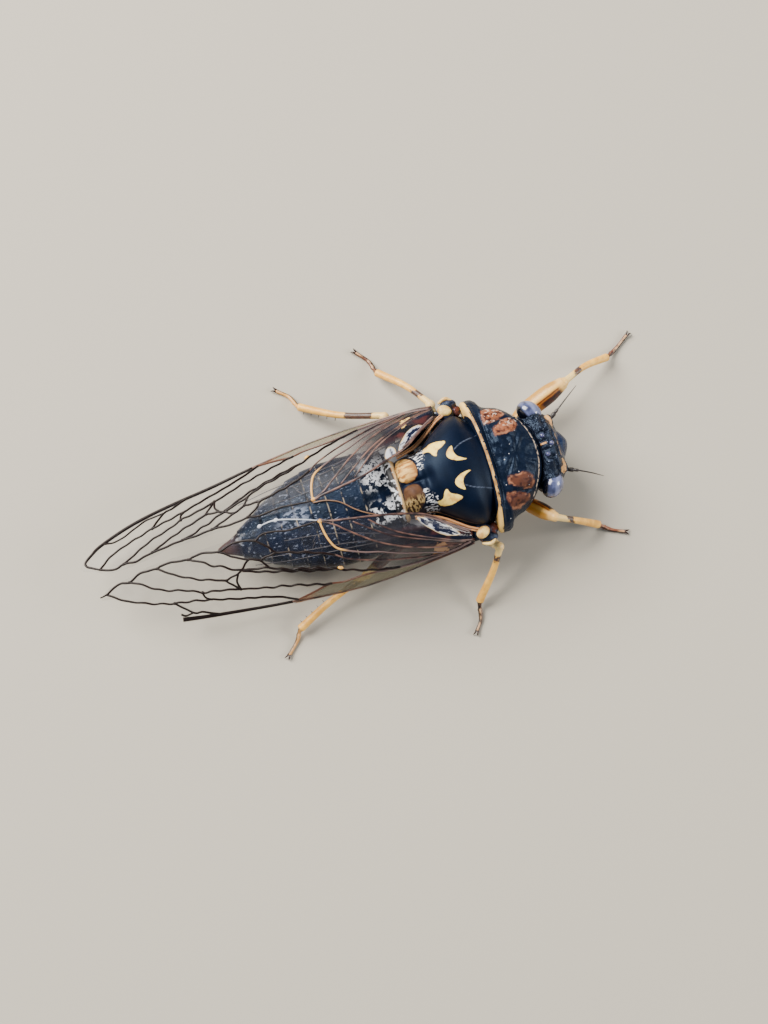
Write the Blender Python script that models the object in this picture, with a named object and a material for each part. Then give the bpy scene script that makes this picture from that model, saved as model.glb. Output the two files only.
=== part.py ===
"""A cicada at rest, life size: head, thorax, abdomen, six legs and four folded wings.

The insect faces +X with its left side towards +Y and stands on z = 0 on the soles of its
feet. Sizes are in millimetres, measured from a point under the middle of the hind end of
the mesonotum, and are turned to metres as each mesh is made.
"""
import math

import bmesh
import bpy
from mathutils import Matrix, Vector
from mathutils.geometry import delaunay_2d_cdt

MM = 0.001
GAP = 0.3
BOX_CENTRE = Vector((-2.87, 0.37, 0.0))

# Driving heights and lengths of the body
NECK_X = 10.7
COLLAR_X = 6.25
NOTUM_END_X = -0.95
WAIST_X = -2.0
ABDOMEN_END_X = -15.0
TIP_X = -16.9
DECK_Z = 5.0
MIDLINE_Y = -0.1
HEAD_BOW = 0.095
COLLAR_BOW = 0.014
EYE_CENTRE = Vector((11.08, 3.18, 5.55))
EYE_RADII = Vector((1.0, 1.02, 1.08))
MEMBRANE = 0.5
VEIN_HEIGHT = 0.2
SIDES = {"left": 1.0, "right": -1.0}


def clear_scene():
    for item in list(bpy.data.objects):
        bpy.data.objects.remove(item, do_unlink=True)


def add_body_frame():
    """An empty that carries every piece and sets the box's centre over the origin."""
    frame = bpy.data.objects.new("body_frame", None)
    frame.location = -BOX_CENTRE * MM
    bpy.context.scene.collection.objects.link(frame)
    return frame


def make_material(name, colour, roughness, alpha=1.0):
    material = bpy.data.materials.new(name)
    material.use_nodes = True
    shader = material.node_tree.nodes["Principled BSDF"]
    shader.inputs["Base Color"].default_value = (*colour, 1.0)
    shader.inputs["Roughness"].default_value = roughness
    shader.inputs["Metallic"].default_value = 0.0
    shader.inputs["Alpha"].default_value = alpha
    return material


def add_object(name, shape, material=None, parent=None):
    """Turn a bmesh in millimetres into an object, its faces pointing outwards."""
    bmesh.ops.recalc_face_normals(shape, faces=shape.faces)
    bmesh.ops.scale(shape, vec=(MM, MM, MM), verts=shape.verts)
    mesh = bpy.data.meshes.new(name)
    shape.to_mesh(mesh)
    shape.free()
    piece = bpy.data.objects.new(name, mesh)
    bpy.context.scene.collection.objects.link(piece)
    if material:
        mesh.materials.append(material)
        mesh.shade_smooth()
        mesh.set_sharp_from_angle(angle=math.radians(40))
    piece.parent = parent
    return piece


def follow(points, x):
    """Height of a smooth curve through (x, value) points that run from high x to low x."""
    if x >= points[0][0]:
        return points[0][1]
    if x <= points[-1][0]:
        return points[-1][1]
    last = len(points) - 1
    start = max(i for i in range(last) if points[i][0] >= x)

    def slope(i):
        before, after = points[max(i - 1, 0)], points[min(i + 1, last)]
        return (after[1] - before[1]) / (after[0] - before[0])

    (x0, y0), (x1, y1) = points[start], points[start + 1]
    span = x1 - x0
    t = (x - x0) / span
    ease = t * t * (3 - 2 * t)
    return (y0 * (1 - ease) + y1 * ease + span * t * (1 - t) * ((1 - t) * slope(start) - t * slope(start + 1)))


def smooth_path(points, step):
    """Points about one step apart on a Catmull-Rom curve through the given ones."""
    ends = [points[0] * 2 - points[1]] + list(points) + [points[-1] * 2 - points[-2]]
    path = [points[0]]
    for a, b, c, d in zip(ends, ends[1:], ends[2:], ends[3:]):
        count = max(1, round((c - b).length / step))
        for i in range(1, count + 1):
            t = i / count
            path.append(0.5 * (2 * b + (c - a) * t + (2 * a - 5 * b + 4 * c - d) * t * t
                               + (3 * b - a - 3 * c + d) * t ** 3))
    return path


def skin_rings(rings):
    """A closed bmesh through rings of equal point counts, with a sunk fan over each end."""
    shape = bmesh.new()
    rows = [[shape.verts.new(point) for point in ring] for ring in rings]
    count = len(rings[0])
    for row, after in zip(rows, rows[1:]):
        for i in range(count):
            j = (i + 1) % count
            shape.faces.new((row[i], row[j], after[j], after[i]))
    for row, near in ((rows[0], rows[1]), (rows[-1], rows[-2])):
        middle = sum((v.co for v in row), Vector()) / count
        inward = (sum((v.co for v in near), Vector()) / count - middle).normalized()
        depth = max((v.co - middle).dot(inward) for v in row)
        centre = shape.verts.new(middle + inward * depth)
        for i in range(count):
            shape.faces.new((row[i], row[(i + 1) % count], centre))
    return shape


def tube(points, radii, sides=8, floor=None):
    """A round bar along points, with one radius at each; floor flattens what lies lower."""
    rings = []
    forward = (points[1] - points[0]).normalized()
    across = forward.cross(Vector((0, 0, 1))).normalized()
    for i, (point, radius) in enumerate(zip(points, radii)):
        ahead = (points[min(i + 1, len(points) - 1)] - points[max(i - 1, 0)]).normalized()
        across = (across - ahead * across.dot(ahead)).normalized()
        upward = across.cross(ahead)
        ring = []
        for k in range(sides):
            turn = math.tau * (k + 0.5) / sides
            place = point + across * radius * math.cos(turn) + upward * radius * math.sin(turn)
            if floor is not None:
                place.z = max(place.z, floor)
            ring.append(place)
        rings.append(ring)
    return skin_rings(rings)


def ellipsoid(centre, radii, turn=0.0, segments=14, rings=8):
    shape = bmesh.new()
    bmesh.ops.create_uvsphere(shape, u_segments=segments, v_segments=rings, radius=1.0)
    place = Matrix.Translation(centre) @ Matrix.Rotation(turn, 4, "Z") @ Matrix.Diagonal((*radii, 1.0))
    bmesh.ops.transform(shape, matrix=place, verts=shape.verts)
    return shape


def apply_modifiers(piece):
    graph = bpy.context.evaluated_depsgraph_get()
    made = bpy.data.meshes.new_from_object(piece.evaluated_get(graph))
    piece.modifiers.clear()
    piece.data = made


def keep_largest(piece):
    """Keep only the largest closed surface of a mesh."""
    shape = bmesh.new()
    shape.from_mesh(piece.data)
    bmesh.ops.remove_doubles(shape, verts=shape.verts, dist=0.004 * MM)
    bmesh.ops.dissolve_degenerate(shape, edges=shape.edges, dist=0.002 * MM)
    bmesh.ops.triangulate(shape, faces=shape.faces)
    bare = [edge for edge in shape.edges if not edge.link_faces]
    bmesh.ops.delete(shape, geom=bare, context="EDGES")
    left = set(shape.verts)
    shells = []
    while left:
        shell, front = set(), [left.pop()]
        while front:
            vert = front.pop()
            shell.add(vert)
            near = {edge.other_vert(vert) for edge in vert.link_edges} & left
            left -= near
            front.extend(near)
        shells.append(shell)
    shells.sort(key=len, reverse=True)
    for shell in shells[1:]:
        bmesh.ops.delete(shape, geom=list(shell), context="VERTS")
    shape.to_mesh(piece.data)
    shape.free()


def combine(piece, shapes, operation):
    """One Boolean of a piece with a collection of closed shapes, applied at once."""
    group = bpy.data.collections.new("pieces")
    bpy.context.scene.collection.children.link(group)
    for i, shape in enumerate(shapes):
        part = add_object(f"piece_{i}", shape, parent=piece.parent)
        bpy.context.scene.collection.objects.unlink(part)
        group.objects.link(part)
    change = piece.modifiers.new(operation.lower(), "BOOLEAN")
    change.operation = operation
    change.operand_type = "COLLECTION"
    change.collection = group
    change.solver = "EXACT"
    apply_modifiers(piece)
    for part in list(group.objects):
        bpy.data.objects.remove(part, do_unlink=True)
    bpy.data.collections.remove(group)
    keep_largest(piece)
    piece.data.shade_smooth()
    piece.data.set_sharp_from_angle(angle=math.radians(40))


def paired(centre, side):
    """A point of the left side, or its match across the body's midline."""
    return Vector((centre.x, centre.y * side + MIDLINE_Y, centre.z))


def rounded(value, power):
    return math.copysign(abs(value) ** power, value)


def body_ring(x, half, middle, top, bottom, bow=0.0, count=28, power=0.9, keel=0.9, relief=None):
    """One whole cross-section: half width, height of the widest level, top and bottom.

    A power below 1 squares the upper half off, and a keel above 1 narrows the lower half.
    """
    ring = []
    for i in range(count):
        turn = math.tau * i / count
        rise = top - middle if math.sin(turn) > 0 else middle - bottom
        shape = power if math.sin(turn) > -0.01 else keel
        y = half * rounded(math.cos(turn), shape)
        z = middle + rise * rounded(math.sin(turn), shape)
        place = Vector((x - bow * y * y, y + MIDLINE_Y, z))
        if relief and math.sin(turn) > 0.1:
            place.z += relief(place.x, y)
        ring.append(place)
    return ring


def cap_ring(x, half, top, floor, bow=0.0, count=22, power=0.85, relief=None):
    """One cross-section of a cover plate: an arch over a flat underside."""
    ring = []
    for i in range(count + 1):
        turn = math.pi * i / count
        y = half * rounded(math.cos(turn), power)
        z = floor + (top - floor) * math.sin(turn) ** power
        place = Vector((x - bow * y * y, y + MIDLINE_Y, z))
        if relief and 0 < i < count:
            place.z += relief(place.x, y) * min(1.0, (z - floor) / 1.5)
        ring.append(place)
    return ring


def bump(x, y, centre, size, height):
    """A smooth swelling, the same on both sides of the body."""
    dx = (x - centre[0]) / size[0]
    dy = (abs(y) - centre[1]) / size[1]
    return height * math.exp(-dx * dx - dy * dy)


# The head: capsule with the swollen, cross-ribbed face plate, brow ledges and three ocelli
HEAD_STATIONS = (
    # x, half width, widest level, top, bottom, bow
    (NECK_X + 1.2 * GAP, 3.1, 4.7, 6.45, 2.2, HEAD_BOW),
    (11.35, 3.35, 4.7, 6.75, 1.9, 0.09),
    (11.7, 3.35, 4.6, 6.85, 1.8, 0.07),
    (12.05, 3.15, 4.6, 6.8, 1.8, 0.045),
    (12.4, 2.75, 4.5, 6.45, 1.9, 0.02),
    (12.65, 2.25, 4.3, 5.9, 2.1, 0.0),
    (12.85, 1.5, 4.0, 5.2, 2.4, 0.0),
)
FACE_CENTRE = Vector((12.1, MIDLINE_Y, 3.95))
FACE_RADII = Vector((1.4, 1.35, 2.0))
FACE_RIBS = 9
FACE_RIB_DEPTH = 0.07
OCELLI = (Vector((11.4, 0.72, 6.8)), Vector((11.4, -0.92, 6.8)), Vector((12.1, MIDLINE_Y, 6.65)))
OCELLUS_RADIUS = 0.24
BROW_CENTRE = Vector((12.3, 1.75, 5.75))


def face_plate():
    """The swollen postclypeus, ribbed across where the sucking muscles attach."""
    rings = []
    levels = 2 * FACE_RIBS + 1
    for level in range(1, levels):
        angle = math.pi * level / levels - math.pi / 2
        rib = FACE_RIB_DEPTH * (1 if level % 2 else -1)
        ring = []
        for i in range(16):
            turn = math.tau * i / 16
            wide = math.cos(angle) * (1 + rib * max(0.0, math.cos(turn)))
            ring.append(FACE_CENTRE + Vector((
                FACE_RADII.x * wide * math.cos(turn),
                FACE_RADII.y * wide * math.sin(turn),
                FACE_RADII.z * math.sin(angle))))
        rings.append(ring)
    return skin_rings(rings)


def add_head(parent, material):
    rings = [body_ring(x, half, middle, top, bottom, bow, count=30)
             for x, half, middle, top, bottom, bow in HEAD_STATIONS]
    head = add_object("head", skin_rings(rings), material, parent)
    pieces = [face_plate()]
    pieces += [ellipsoid(place, (OCELLUS_RADIUS,) * 3, segments=8, rings=6) for place in OCELLI]
    for side in SIDES.values():
        pieces.append(ellipsoid(paired(BROW_CENTRE, side), (0.4, 0.75, 0.3), -0.25 * side, 12, 6))
    combine(head, pieces, "UNION")
    sockets = [ellipsoid(paired(EYE_CENTRE, side), EYE_RADII + Vector((GAP, GAP, GAP)), segments=16, rings=10)
               for side in SIDES.values()]
    combine(head, sockets, "DIFFERENCE")
    return head


def add_eyes(parent, material):
    for name, side in SIDES.items():
        eye = ellipsoid(paired(EYE_CENTRE, side), EYE_RADII, segments=16, rings=10)
        add_object(f"eye_{name}", eye, material, parent)


# The feelers: two thick joints, then a bristle
ANTENNA_LEFT = (Vector((12.95, 2.3, 5.1)), Vector((13.6, 2.75, 5.25)), Vector((14.6, 3.45, 5.35)),
                Vector((15.6, 4.15, 5.2)))
ANTENNA_RIGHT = (Vector((12.95, -2.45, 5.1)), Vector((13.6, -2.75, 5.25)), Vector((14.5, -3.25, 5.35)),
                 Vector((15.4, -3.77, 5.2)))


def add_antennae(parent, material):
    for name, points in (("left", ANTENNA_LEFT), ("right", ANTENNA_RIGHT)):
        path = smooth_path(points, 0.45)
        last = len(path) - 1
        radii = [0.3 if i < 2 else 0.26 - 0.14 * i / last for i in range(len(path))]
        add_object(f"antenna_{name}", tube(path, radii, 8), material, parent)


# The beak, laid back under the body between the fore legs
BEAK_POINTS = (Vector((11.9, MIDLINE_Y, 1.12)), Vector((11.0, MIDLINE_Y, 1.0)), Vector((9.6, MIDLINE_Y, 0.9)),
               Vector((7.5, MIDLINE_Y, 0.8)), Vector((5.6, MIDLINE_Y, 0.75)))


def add_beak(parent, material):
    path = smooth_path(BEAK_POINTS, 0.8)
    last = len(path) - 1
    radii = [0.38 - 0.13 * (i / last) for i in range(len(path))]
    add_object("beak", tube(path, radii, 10), material, parent)


# The pronotum, collar to neck
PRONOTUM_STATIONS = (
    # x, half width, widest level, top, bottom
    (COLLAR_X, 5.5, 5.0, 7.95, 1.9),
    (COLLAR_X + 0.12, 5.68, 5.0, 8.12, 1.8),
    (COLLAR_X + 0.4, 5.7, 5.0, 8.12, 1.7),
    (COLLAR_X + 0.58, 5.72, 5.0, 7.85, 1.7),
    (7.15, 5.68, 4.9, 7.9, 1.6),
    (7.45, 5.4, 4.9, 7.95, 1.6),
    (7.8, 5.02, 4.9, 8.0, 1.6),
    (8.3, 4.82, 4.8, 7.95, 1.6),
    (8.8, 4.7, 4.8, 7.85, 1.6),
    (9.3, 4.6, 4.8, 7.7, 1.6),
    (9.8, 4.5, 4.8, 7.5, 1.7),
    (10.2, 4.3, 4.8, 7.3, 1.8),
    (10.5, 4.05, 4.75, 7.1, 2.0),
    (NECK_X, 3.75, 4.7, 6.85, 2.3),
)


def pronotum_relief(x, y):
    """Rough raised patches with a sunk middle and slanting grooves between."""
    height = bump(x, y, (7.9, 3.75), (0.75, 0.55), 0.16)
    height += bump(x, y, (8.7, 2.35), (0.8, 0.55), 0.16)
    height -= bump(x, y, (8.4, 3.1), (1.0, 0.25), 0.14)
    height -= bump(x, y, (9.0, 0.0), (0.9, 0.5), 0.18)
    return height


def neck_bow(x):
    """How far a section's sides lie back: a little at the collar, the head's bow at the neck."""
    return COLLAR_BOW + (HEAD_BOW - COLLAR_BOW) * max(0.0, (x - 7.4) / (NECK_X - 7.4))


def add_pronotum(parent, material):
    rings = [body_ring(x, half, middle, top, bottom, neck_bow(x), count=34, keel=1.2,
                      relief=pronotum_relief)
             for x, half, middle, top, bottom in PRONOTUM_STATIONS]
    pronotum = add_object("pronotum", skin_rings(rings), material, parent)
    combine(pronotum, [coxa(leg) for leg in LEGS if leg["name"].startswith("fore")], "UNION")


# The mesonotum: a satin disc with the cross-shaped swelling at its hind end
MESONOTUM_STATIONS = (
    # x, half width, top, bow
    (COLLAR_X - GAP, 3.75, 7.85, COLLAR_BOW),
    (5.75, 4.15, 8.15, COLLAR_BOW),
    (5.3, 4.6, 8.6, 0.008),
    (4.75, 4.75, 8.9, 0.0),
    (4.1, 4.6, 9.1, 0.0),
    (3.4, 4.2, 9.2, 0.0),
    (2.7, 3.75, 9.15, 0.0),
    (2.1, 3.3, 9.0, 0.0),
    (1.6, 2.95, 8.8, 0.0),
    (1.1, 2.7, 8.55, 0.0),
    (0.6, 2.6, 8.4, 0.0),
    (0.1, 2.6, 8.3, 0.0),
    (-0.4, 2.55, 8.2, 0.0),
    (NOTUM_END_X + 0.15, 2.45, 7.95, 0.0),
    (NOTUM_END_X, 2.2, 7.6, 0.0),
)
BOSS_CENTRE = (-0.1, 1.2)


def mesonotum_relief(x, y):
    """Two bosses with a groove between, and low arms that run forwards and outwards."""
    height = bump(x, y, BOSS_CENTRE, (0.75, 0.8), 0.5)
    height -= bump(x, y, (0.0, 0.0), (0.9, 0.3), 0.3)
    height += bump(x, y, (1.2, 1.9), (0.5, 0.3), 0.2)
    height -= bump(x, y, (1.3, 0.0), (0.4, 0.8), 0.25)
    return height


def add_mesonotum(parent, material):
    rings = [cap_ring(x, half, top, DECK_Z + GAP, bow, relief=mesonotum_relief)
             for x, half, top, bow in MESONOTUM_STATIONS]
    add_object("mesonotum", skin_rings(rings), material, parent)


METANOTUM_STATIONS = (
    (NOTUM_END_X - GAP, 2.6, 7.3),
    (NOTUM_END_X - GAP - 0.12, 2.75, 7.45),
    (NOTUM_END_X - GAP - 0.35, 2.8, 7.4),
    (WAIST_X + GAP, 2.7, 7.2),
)


def add_metanotum(parent, material):
    rings = [cap_ring(x, half, top, DECK_Z + GAP, count=18) for x, half, top in METANOTUM_STATIONS]
    add_object("metanotum", skin_rings(rings), material, parent)


# The underside of the thorax, with hip joints and wing roots
THORAX_STATIONS = (
    # x, half width, bottom, bow
    (COLLAR_X - GAP, 4.2, 2.0, COLLAR_BOW),
    (5.5, 4.7, 1.6, COLLAR_BOW),
    (4.6, 4.85, 1.45, 0.0),
    (3.4, 4.7, 1.4, 0.0),
    (2.0, 4.45, 1.4, 0.0),
    (0.8, 4.3, 1.45, 0.0),
    (-0.4, 4.1, 1.6, 0.0),
    (-1.2, 3.95, 1.9, 0.0),
    (WAIST_X + GAP, 3.8, 2.2, 0.0),
)
SHOULDER = (Vector((3.6, 4.85, 4.45)), Vector((1.7, 0.85, 0.52)))
WING_SCALE = (Vector((4.4, 5.5, 5.3)), Vector((0.5, 0.44, 0.7)))
AXILLARY = (Vector((1.5, 4.15, 5.0)), Vector((1.1, 0.4, 0.75)))
AXILLARY_TURN = math.radians(28)


def add_thorax(parent, material):
    rings = []
    for x, half, bottom, bow in THORAX_STATIONS:
        flipped = cap_ring(x, half, DECK_Z - bottom, 0.0, bow, count=16, power=1.08)
        rings.append([Vector((p.x, p.y, DECK_Z - p.z)) for p in flipped])
    thorax = add_object("thorax", skin_rings(rings), material, parent)
    pieces = [coxa(leg) for leg in LEGS if not leg["name"].startswith("fore")]
    for side in SIDES.values():
        for (centre, radii), turn in ((SHOULDER, 0.0), (WING_SCALE, 0.0), (AXILLARY, AXILLARY_TURN)):
            pieces.append(ellipsoid(paired(centre, side), radii, turn * side, 12, 6))
    combine(thorax, pieces, "UNION")


# The abdomen: overlapping rings that narrow to a pointed tip
ABDOMEN_HALF = ((WAIST_X, 4.0), (-3.0, 4.25), (-5.0, 4.45), (-7.0, 4.4), (-8.6, 4.15), (-10.2, 3.65),
                (-12.0, 2.85), (-13.4, 2.05), (-15.0, 1.1))
ABDOMEN_TOP = ((WAIST_X, 6.9), (-3.5, 7.0), (-6.0, 6.7), (-8.5, 6.12), (-10.2, 5.7), (-12.0, 5.1), (-13.4, 4.6),
               (-15.0, 3.9))
ABDOMEN_MIDDLE = ((WAIST_X, 4.4), (-6.0, 4.0), (-10.0, 3.6), (-15.0, 3.0))
ABDOMEN_BOTTOM = ((WAIST_X, 1.9), (-4.0, 1.4), (-9.0, 1.35), (-12.0, 1.5), (-15.0, 2.1))
ABDOMEN_LEAN = ((WAIST_X, 0.0), (-6.0, 0.05), (-10.0, 0.12), (-15.0, 0.0))
SEGMENT_ENDS = (-2.9, -4.25, -5.85, -7.2, -8.65, -10.0, -11.3, -12.8, ABDOMEN_END_X)
SEGMENT_LIP = 0.1


def abdomen_ring(x, swell=0.0):
    ring = body_ring(x, follow(ABDOMEN_HALF, x) + swell, follow(ABDOMEN_MIDDLE, x),
                     follow(ABDOMEN_TOP, x) + swell, follow(ABDOMEN_BOTTOM, x) - swell, count=24, power=1.0, keel=1.0)
    return [point + Vector((0, follow(ABDOMEN_LEAN, x), 0)) for point in ring]


def add_abdomen(parent, material, tip_material):
    rings = [abdomen_ring(WAIST_X, -0.15)]
    start = WAIST_X
    for end in SEGMENT_ENDS:
        rings.append(abdomen_ring(start - 0.25, -0.02))
        rings.append(abdomen_ring(end + 0.12, SEGMENT_LIP))
        rings.append(abdomen_ring(end, 0.0 if end != ABDOMEN_END_X else -0.1))
        start = end
    add_object("abdomen", skin_rings(rings), material, parent)
    tip = [body_ring(x, half, 3.0, top, bottom, count=14, power=1.0) for x, half, top, bottom in (
        (ABDOMEN_END_X - GAP, 0.9, 3.75, 2.2),
        (-15.9, 0.62, 3.5, 2.4),
        (-16.5, 0.36, 3.25, 2.6),
        (TIP_X, 0.15, 3.1, 2.85))]
    lean = Vector((0, follow(ABDOMEN_LEAN, ABDOMEN_END_X), 0))
    tip = [[point + lean for point in ring] for ring in tip]
    add_object("abdomen_tip", skin_rings(tip), tip_material, parent)


# The legs as they stand: hip, knee, a point the shin bends through, ankle, middle and end of foot
LEGS = (
    {"name": "fore_left", "hip": (9.6, 3.2, 1.55), "knee": (15.15, 5.1, 3.2), "shin": (17.3, 6.0, 2.3),
     "ankle": (19.7, 6.5, 0.85), "sole": (20.8, 7.1), "toe": (22.05, 7.95), "thigh": 0.82},
    {"name": "fore_right", "hip": (8.6, -3.2, 1.3), "knee": (10.6, -5.8, 4.6), "shin": (12.7, -6.55, 2.9),
     "ankle": (14.45, -7.1, 0.85), "sole": (15.5, -7.85), "toe": (16.5, -8.3), "thigh": 0.66},
    {"name": "mid_left", "hip": (3.3, 3.2, 1.2), "knee": (3.65, 6.5, 3.8), "shin": (2.3, 8.8, 2.4),
     "ankle": (0.35, 11.05, 0.85), "sole": (-0.05, 12.4), "toe": (-0.85, 13.4), "thigh": 0.5},
    {"name": "mid_right", "hip": (3.3, -3.3, 1.2), "knee": (5.5, -6.8, 4.2), "shin": (4.5, -8.4, 2.7),
     "ankle": (2.8, -10.35, 0.85), "sole": (2.5, -11.8), "toe": (1.9, -12.65), "thigh": 0.5},
    {"name": "hind_left", "hip": (-0.6, 3.1, 1.3), "knee": (-0.3, 6.85, 2.9), "shin": (-3.8, 8.2, 1.85),
     "ankle": (-6.95, 10.15, 0.85), "sole": (-7.5, 11.4), "toe": (-8.4, 12.2), "thigh": 0.5},
    {"name": "hind_right", "hip": (-0.6, -3.1, 1.3), "knee": (-5.7, -5.55, 2.2), "shin": (-9.3, -6.75, 1.5),
     "ankle": (-12.3, -8.1, 0.85), "sole": (-12.9, -9.0), "toe": (-13.85, -9.9), "thigh": 0.5},
)
SHIN_RADIUS = 0.33
JOINT_RADIUS = 0.34
HIP_RADIUS = 0.5
SOLE_RADIUS = 0.3
SOLE_HEIGHT = 0.24
CLAW_SPREAD = 0.3
FEMUR_SPINES = ((0.44, 0.8), (0.61, 0.7), (0.77, 0.6))
TIBIA_SPINES = (0.42, 0.56, 0.7, 0.84)


def coxa(leg):
    """The short thick hip joint that the leg hangs from, with a round end."""
    hip = Vector(leg["hip"])
    root = Vector((hip.x, hip.y * 0.55, hip.z + 1.5))
    end = hip + (hip - root).normalized() * HIP_RADIUS * 0.75
    return tube([root, root.lerp(hip, 0.5), hip, end], [0.65, 0.6, HIP_RADIUS, HIP_RADIUS * 0.55], 8)


def joint_setback(before, after):
    """How far two round ends stand back from a joint so that the gap stays between them."""
    half_turn = before.angle(after) / 2
    return (2 * JOINT_RADIUS + 1.35 * GAP) / (2 * math.cos(half_turn)) - JOINT_RADIUS


def limb(start, middle, end, radius, count):
    """Points and radii of one leg segment, its two ends blunt and round."""
    path = smooth_path([start, middle, end], (end - start).length / count)
    for turn in range(2):
        ahead = (path[1] - path[0]).normalized() * JOINT_RADIUS
        path[1:1] = [path[0] + ahead * 0.25, path[0] + ahead * 0.9]
        path.reverse()
    last = len(path) - 1
    ends = {0: 0.55, 1: 0.85, 2: 1.0, last - 2: 1.0, last - 1: 0.85, last: 0.55}
    radii = [JOINT_RADIUS * ends[i] if i in ends else radius * (0.85 + 0.15 * math.sin(math.pi * i / last))
             for i in range(len(path))]
    return path, radii


def spine(root, tip, thickness):
    return tube([root, root.lerp(tip, 0.6), tip], [thickness, thickness * 0.8, thickness * 0.3], 5)


def add_femur(leg, parent, material):
    hip, knee = Vector(leg["hip"]), Vector(leg["knee"])
    along = (knee - hip).normalized()
    back = joint_setback(along, Vector(leg["ankle"]) - knee)
    start, end = hip + along * (HIP_RADIUS + GAP), knee - along * back
    middle = start.lerp(end, 0.5) + Vector((0, 0, 0.12))
    path, radii = limb(start, middle, end, leg["thigh"], 6)
    femur = add_object(f"femur_{leg['name']}", tube(path, radii, 10), material, parent)
    if leg["name"].startswith("fore"):
        down = Vector((0, 0, -1))
        down = (down - along * down.dot(along)).normalized()
        spines = []
        for share, length in FEMUR_SPINES:
            root = start.lerp(end, share) + down * 0.45
            spines.append(spine(root, root + down * length + along * 0.35, 0.2))
        combine(femur, spines, "UNION")


def add_tibia(leg, parent, material):
    knee, middle, ankle = Vector(leg["knee"]), Vector(leg["shin"]), Vector(leg["ankle"])
    along = (middle - knee).normalized()
    start = knee + along * joint_setback(knee - Vector(leg["hip"]), along)
    end = ankle - (ankle - middle).normalized() * 0.15
    path, radii = limb(start, middle, end, SHIN_RADIUS, 7)
    tibia = add_object(f"tibia_{leg['name']}", tube(path, radii, 8), material, parent)
    if leg["name"].startswith("hind"):
        side = math.copysign(1.0, leg["hip"][1])
        along = (end - start).normalized()
        behind = Vector((-along.y * side, along.x * side, 0)).normalized()
        spines = []
        for share in TIBIA_SPINES:
            spot = path[round(share * (len(path) - 1))]
            root = spot + behind * 0.08
            spines.append(spine(root, root + behind * 0.6 + along * 0.3, 0.16))
        combine(tibia, spines, "UNION")


def add_tarsus(leg, parent, material):
    """The foot: flat along its sole, with two small claws."""
    ankle, sole, toe = Vector(leg["ankle"]), Vector((*leg["sole"], 0)), Vector((*leg["toe"], 0))
    level = Vector((sole.x - ankle.x, sole.y - ankle.y, 0)).normalized()
    start = Vector((ankle.x, ankle.y, 0)) + level * (GAP - 0.12)
    ahead = (toe - sole).normalized()
    across = Vector((-ahead.y, ahead.x, 0))
    places = [start, start.lerp(sole, 0.3), start.lerp(sole, 0.65), sole + (ahead - level) * 0.05,
              sole.lerp(toe, 0.5), toe]
    heights = (0.62, 0.4, SOLE_HEIGHT, SOLE_HEIGHT, SOLE_HEIGHT, 0.3)
    path = [place + Vector((0, 0, height)) for place, height in zip(places, heights)]
    radii = [0.22, SOLE_RADIUS, SOLE_RADIUS, SOLE_RADIUS * 0.95, SOLE_RADIUS * 0.9, 0.22]
    tarsus = add_object(f"tarsus_{leg['name']}", tube(path, radii, 8, floor=0.0), material, parent)
    claws = []
    for turn in (CLAW_SPREAD, -CLAW_SPREAD):
        root = path[-1] - ahead * 0.15 + across * turn * 0.3
        tip = path[-1] + ahead * 0.45 + across * turn
        tip.z = 0.14
        bend = root.lerp(tip, 0.55) + Vector((0, 0, 0.14))
        claws.append(tube([root, bend, tip], [0.13, 0.11, 0.05], 5))
    combine(tarsus, claws, "UNION")


# The wings. A point on a wing is given by its x and by a share: 0 at the inner edge, where
# the hind border vein runs, and 1 at the costal edge, which is lowest at rest.
COSTAL_Y = ((4.0, 5.9), (2.0, 6.2), (-0.8, 6.4), (-5.0, 6.5), (-8.3, 6.35), (-12.0, 6.0), (-16.0, 5.4),
            (-20.0, 4.9), (-23.0, 4.35), (-26.0, 3.4), (-28.7, 2.3))
INNER_Y = {
    "left": ((4.0, 5.1), (2.0, 4.0), (0.35, 2.95), (-1.5, 2.25), (-3.9, 1.5), (-8.2, 0.9), (-12.0, 1.15),
             (-20.0, 1.25), (-24.6, 0.95), (-28.7, 0.9)),
    "right": ((4.0, 5.1), (2.0, 4.0), (0.35, 2.95), (-1.5, 2.35), (-5.0, 1.5), (-8.2, 0.8), (-12.0, 0.45),
              (-18.0, 0.25), (-22.0, 0.1), (-25.0, 0.45), (-28.7, 0.5)),
}
INNER_Z = ((4.0, 5.7), (2.2, 6.9), (0.6, 7.8), (-1.3, 8.5), (-3.7, 8.7), (-6.6, 8.5), (-8.2, 8.2), (-11.9, 7.4),
           (-17.4, 6.1), (-22.4, 4.7), (-28.7, 3.0))
COSTAL_Z = ((4.0, 5.4), (2.0, 5.1), (-0.8, 4.3), (-5.0, 3.3), (-8.3, 2.8), (-12.4, 2.4), (-16.9, 2.2),
            (-22.7, 2.3), (-28.7, 2.8))
FLAT_WIDTH = ((4.0, 1.0), (2.0, 2.8), (0.35, 4.3), (-1.5, 5.6), (-5.0, 7.2), (-8.0, 7.8), (-12.0, 7.5),
              (-16.0, 6.7), (-20.0, 5.6), (-24.0, 4.6), (-28.7, 3.2))
WING_START_X = 3.55
BORDER = 0.45
VEIN_HALF = 0.2
COSTA_HALF = 0.42
VEIN_STEP = 1.3
HINDWING_DROP = 1.08

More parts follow.
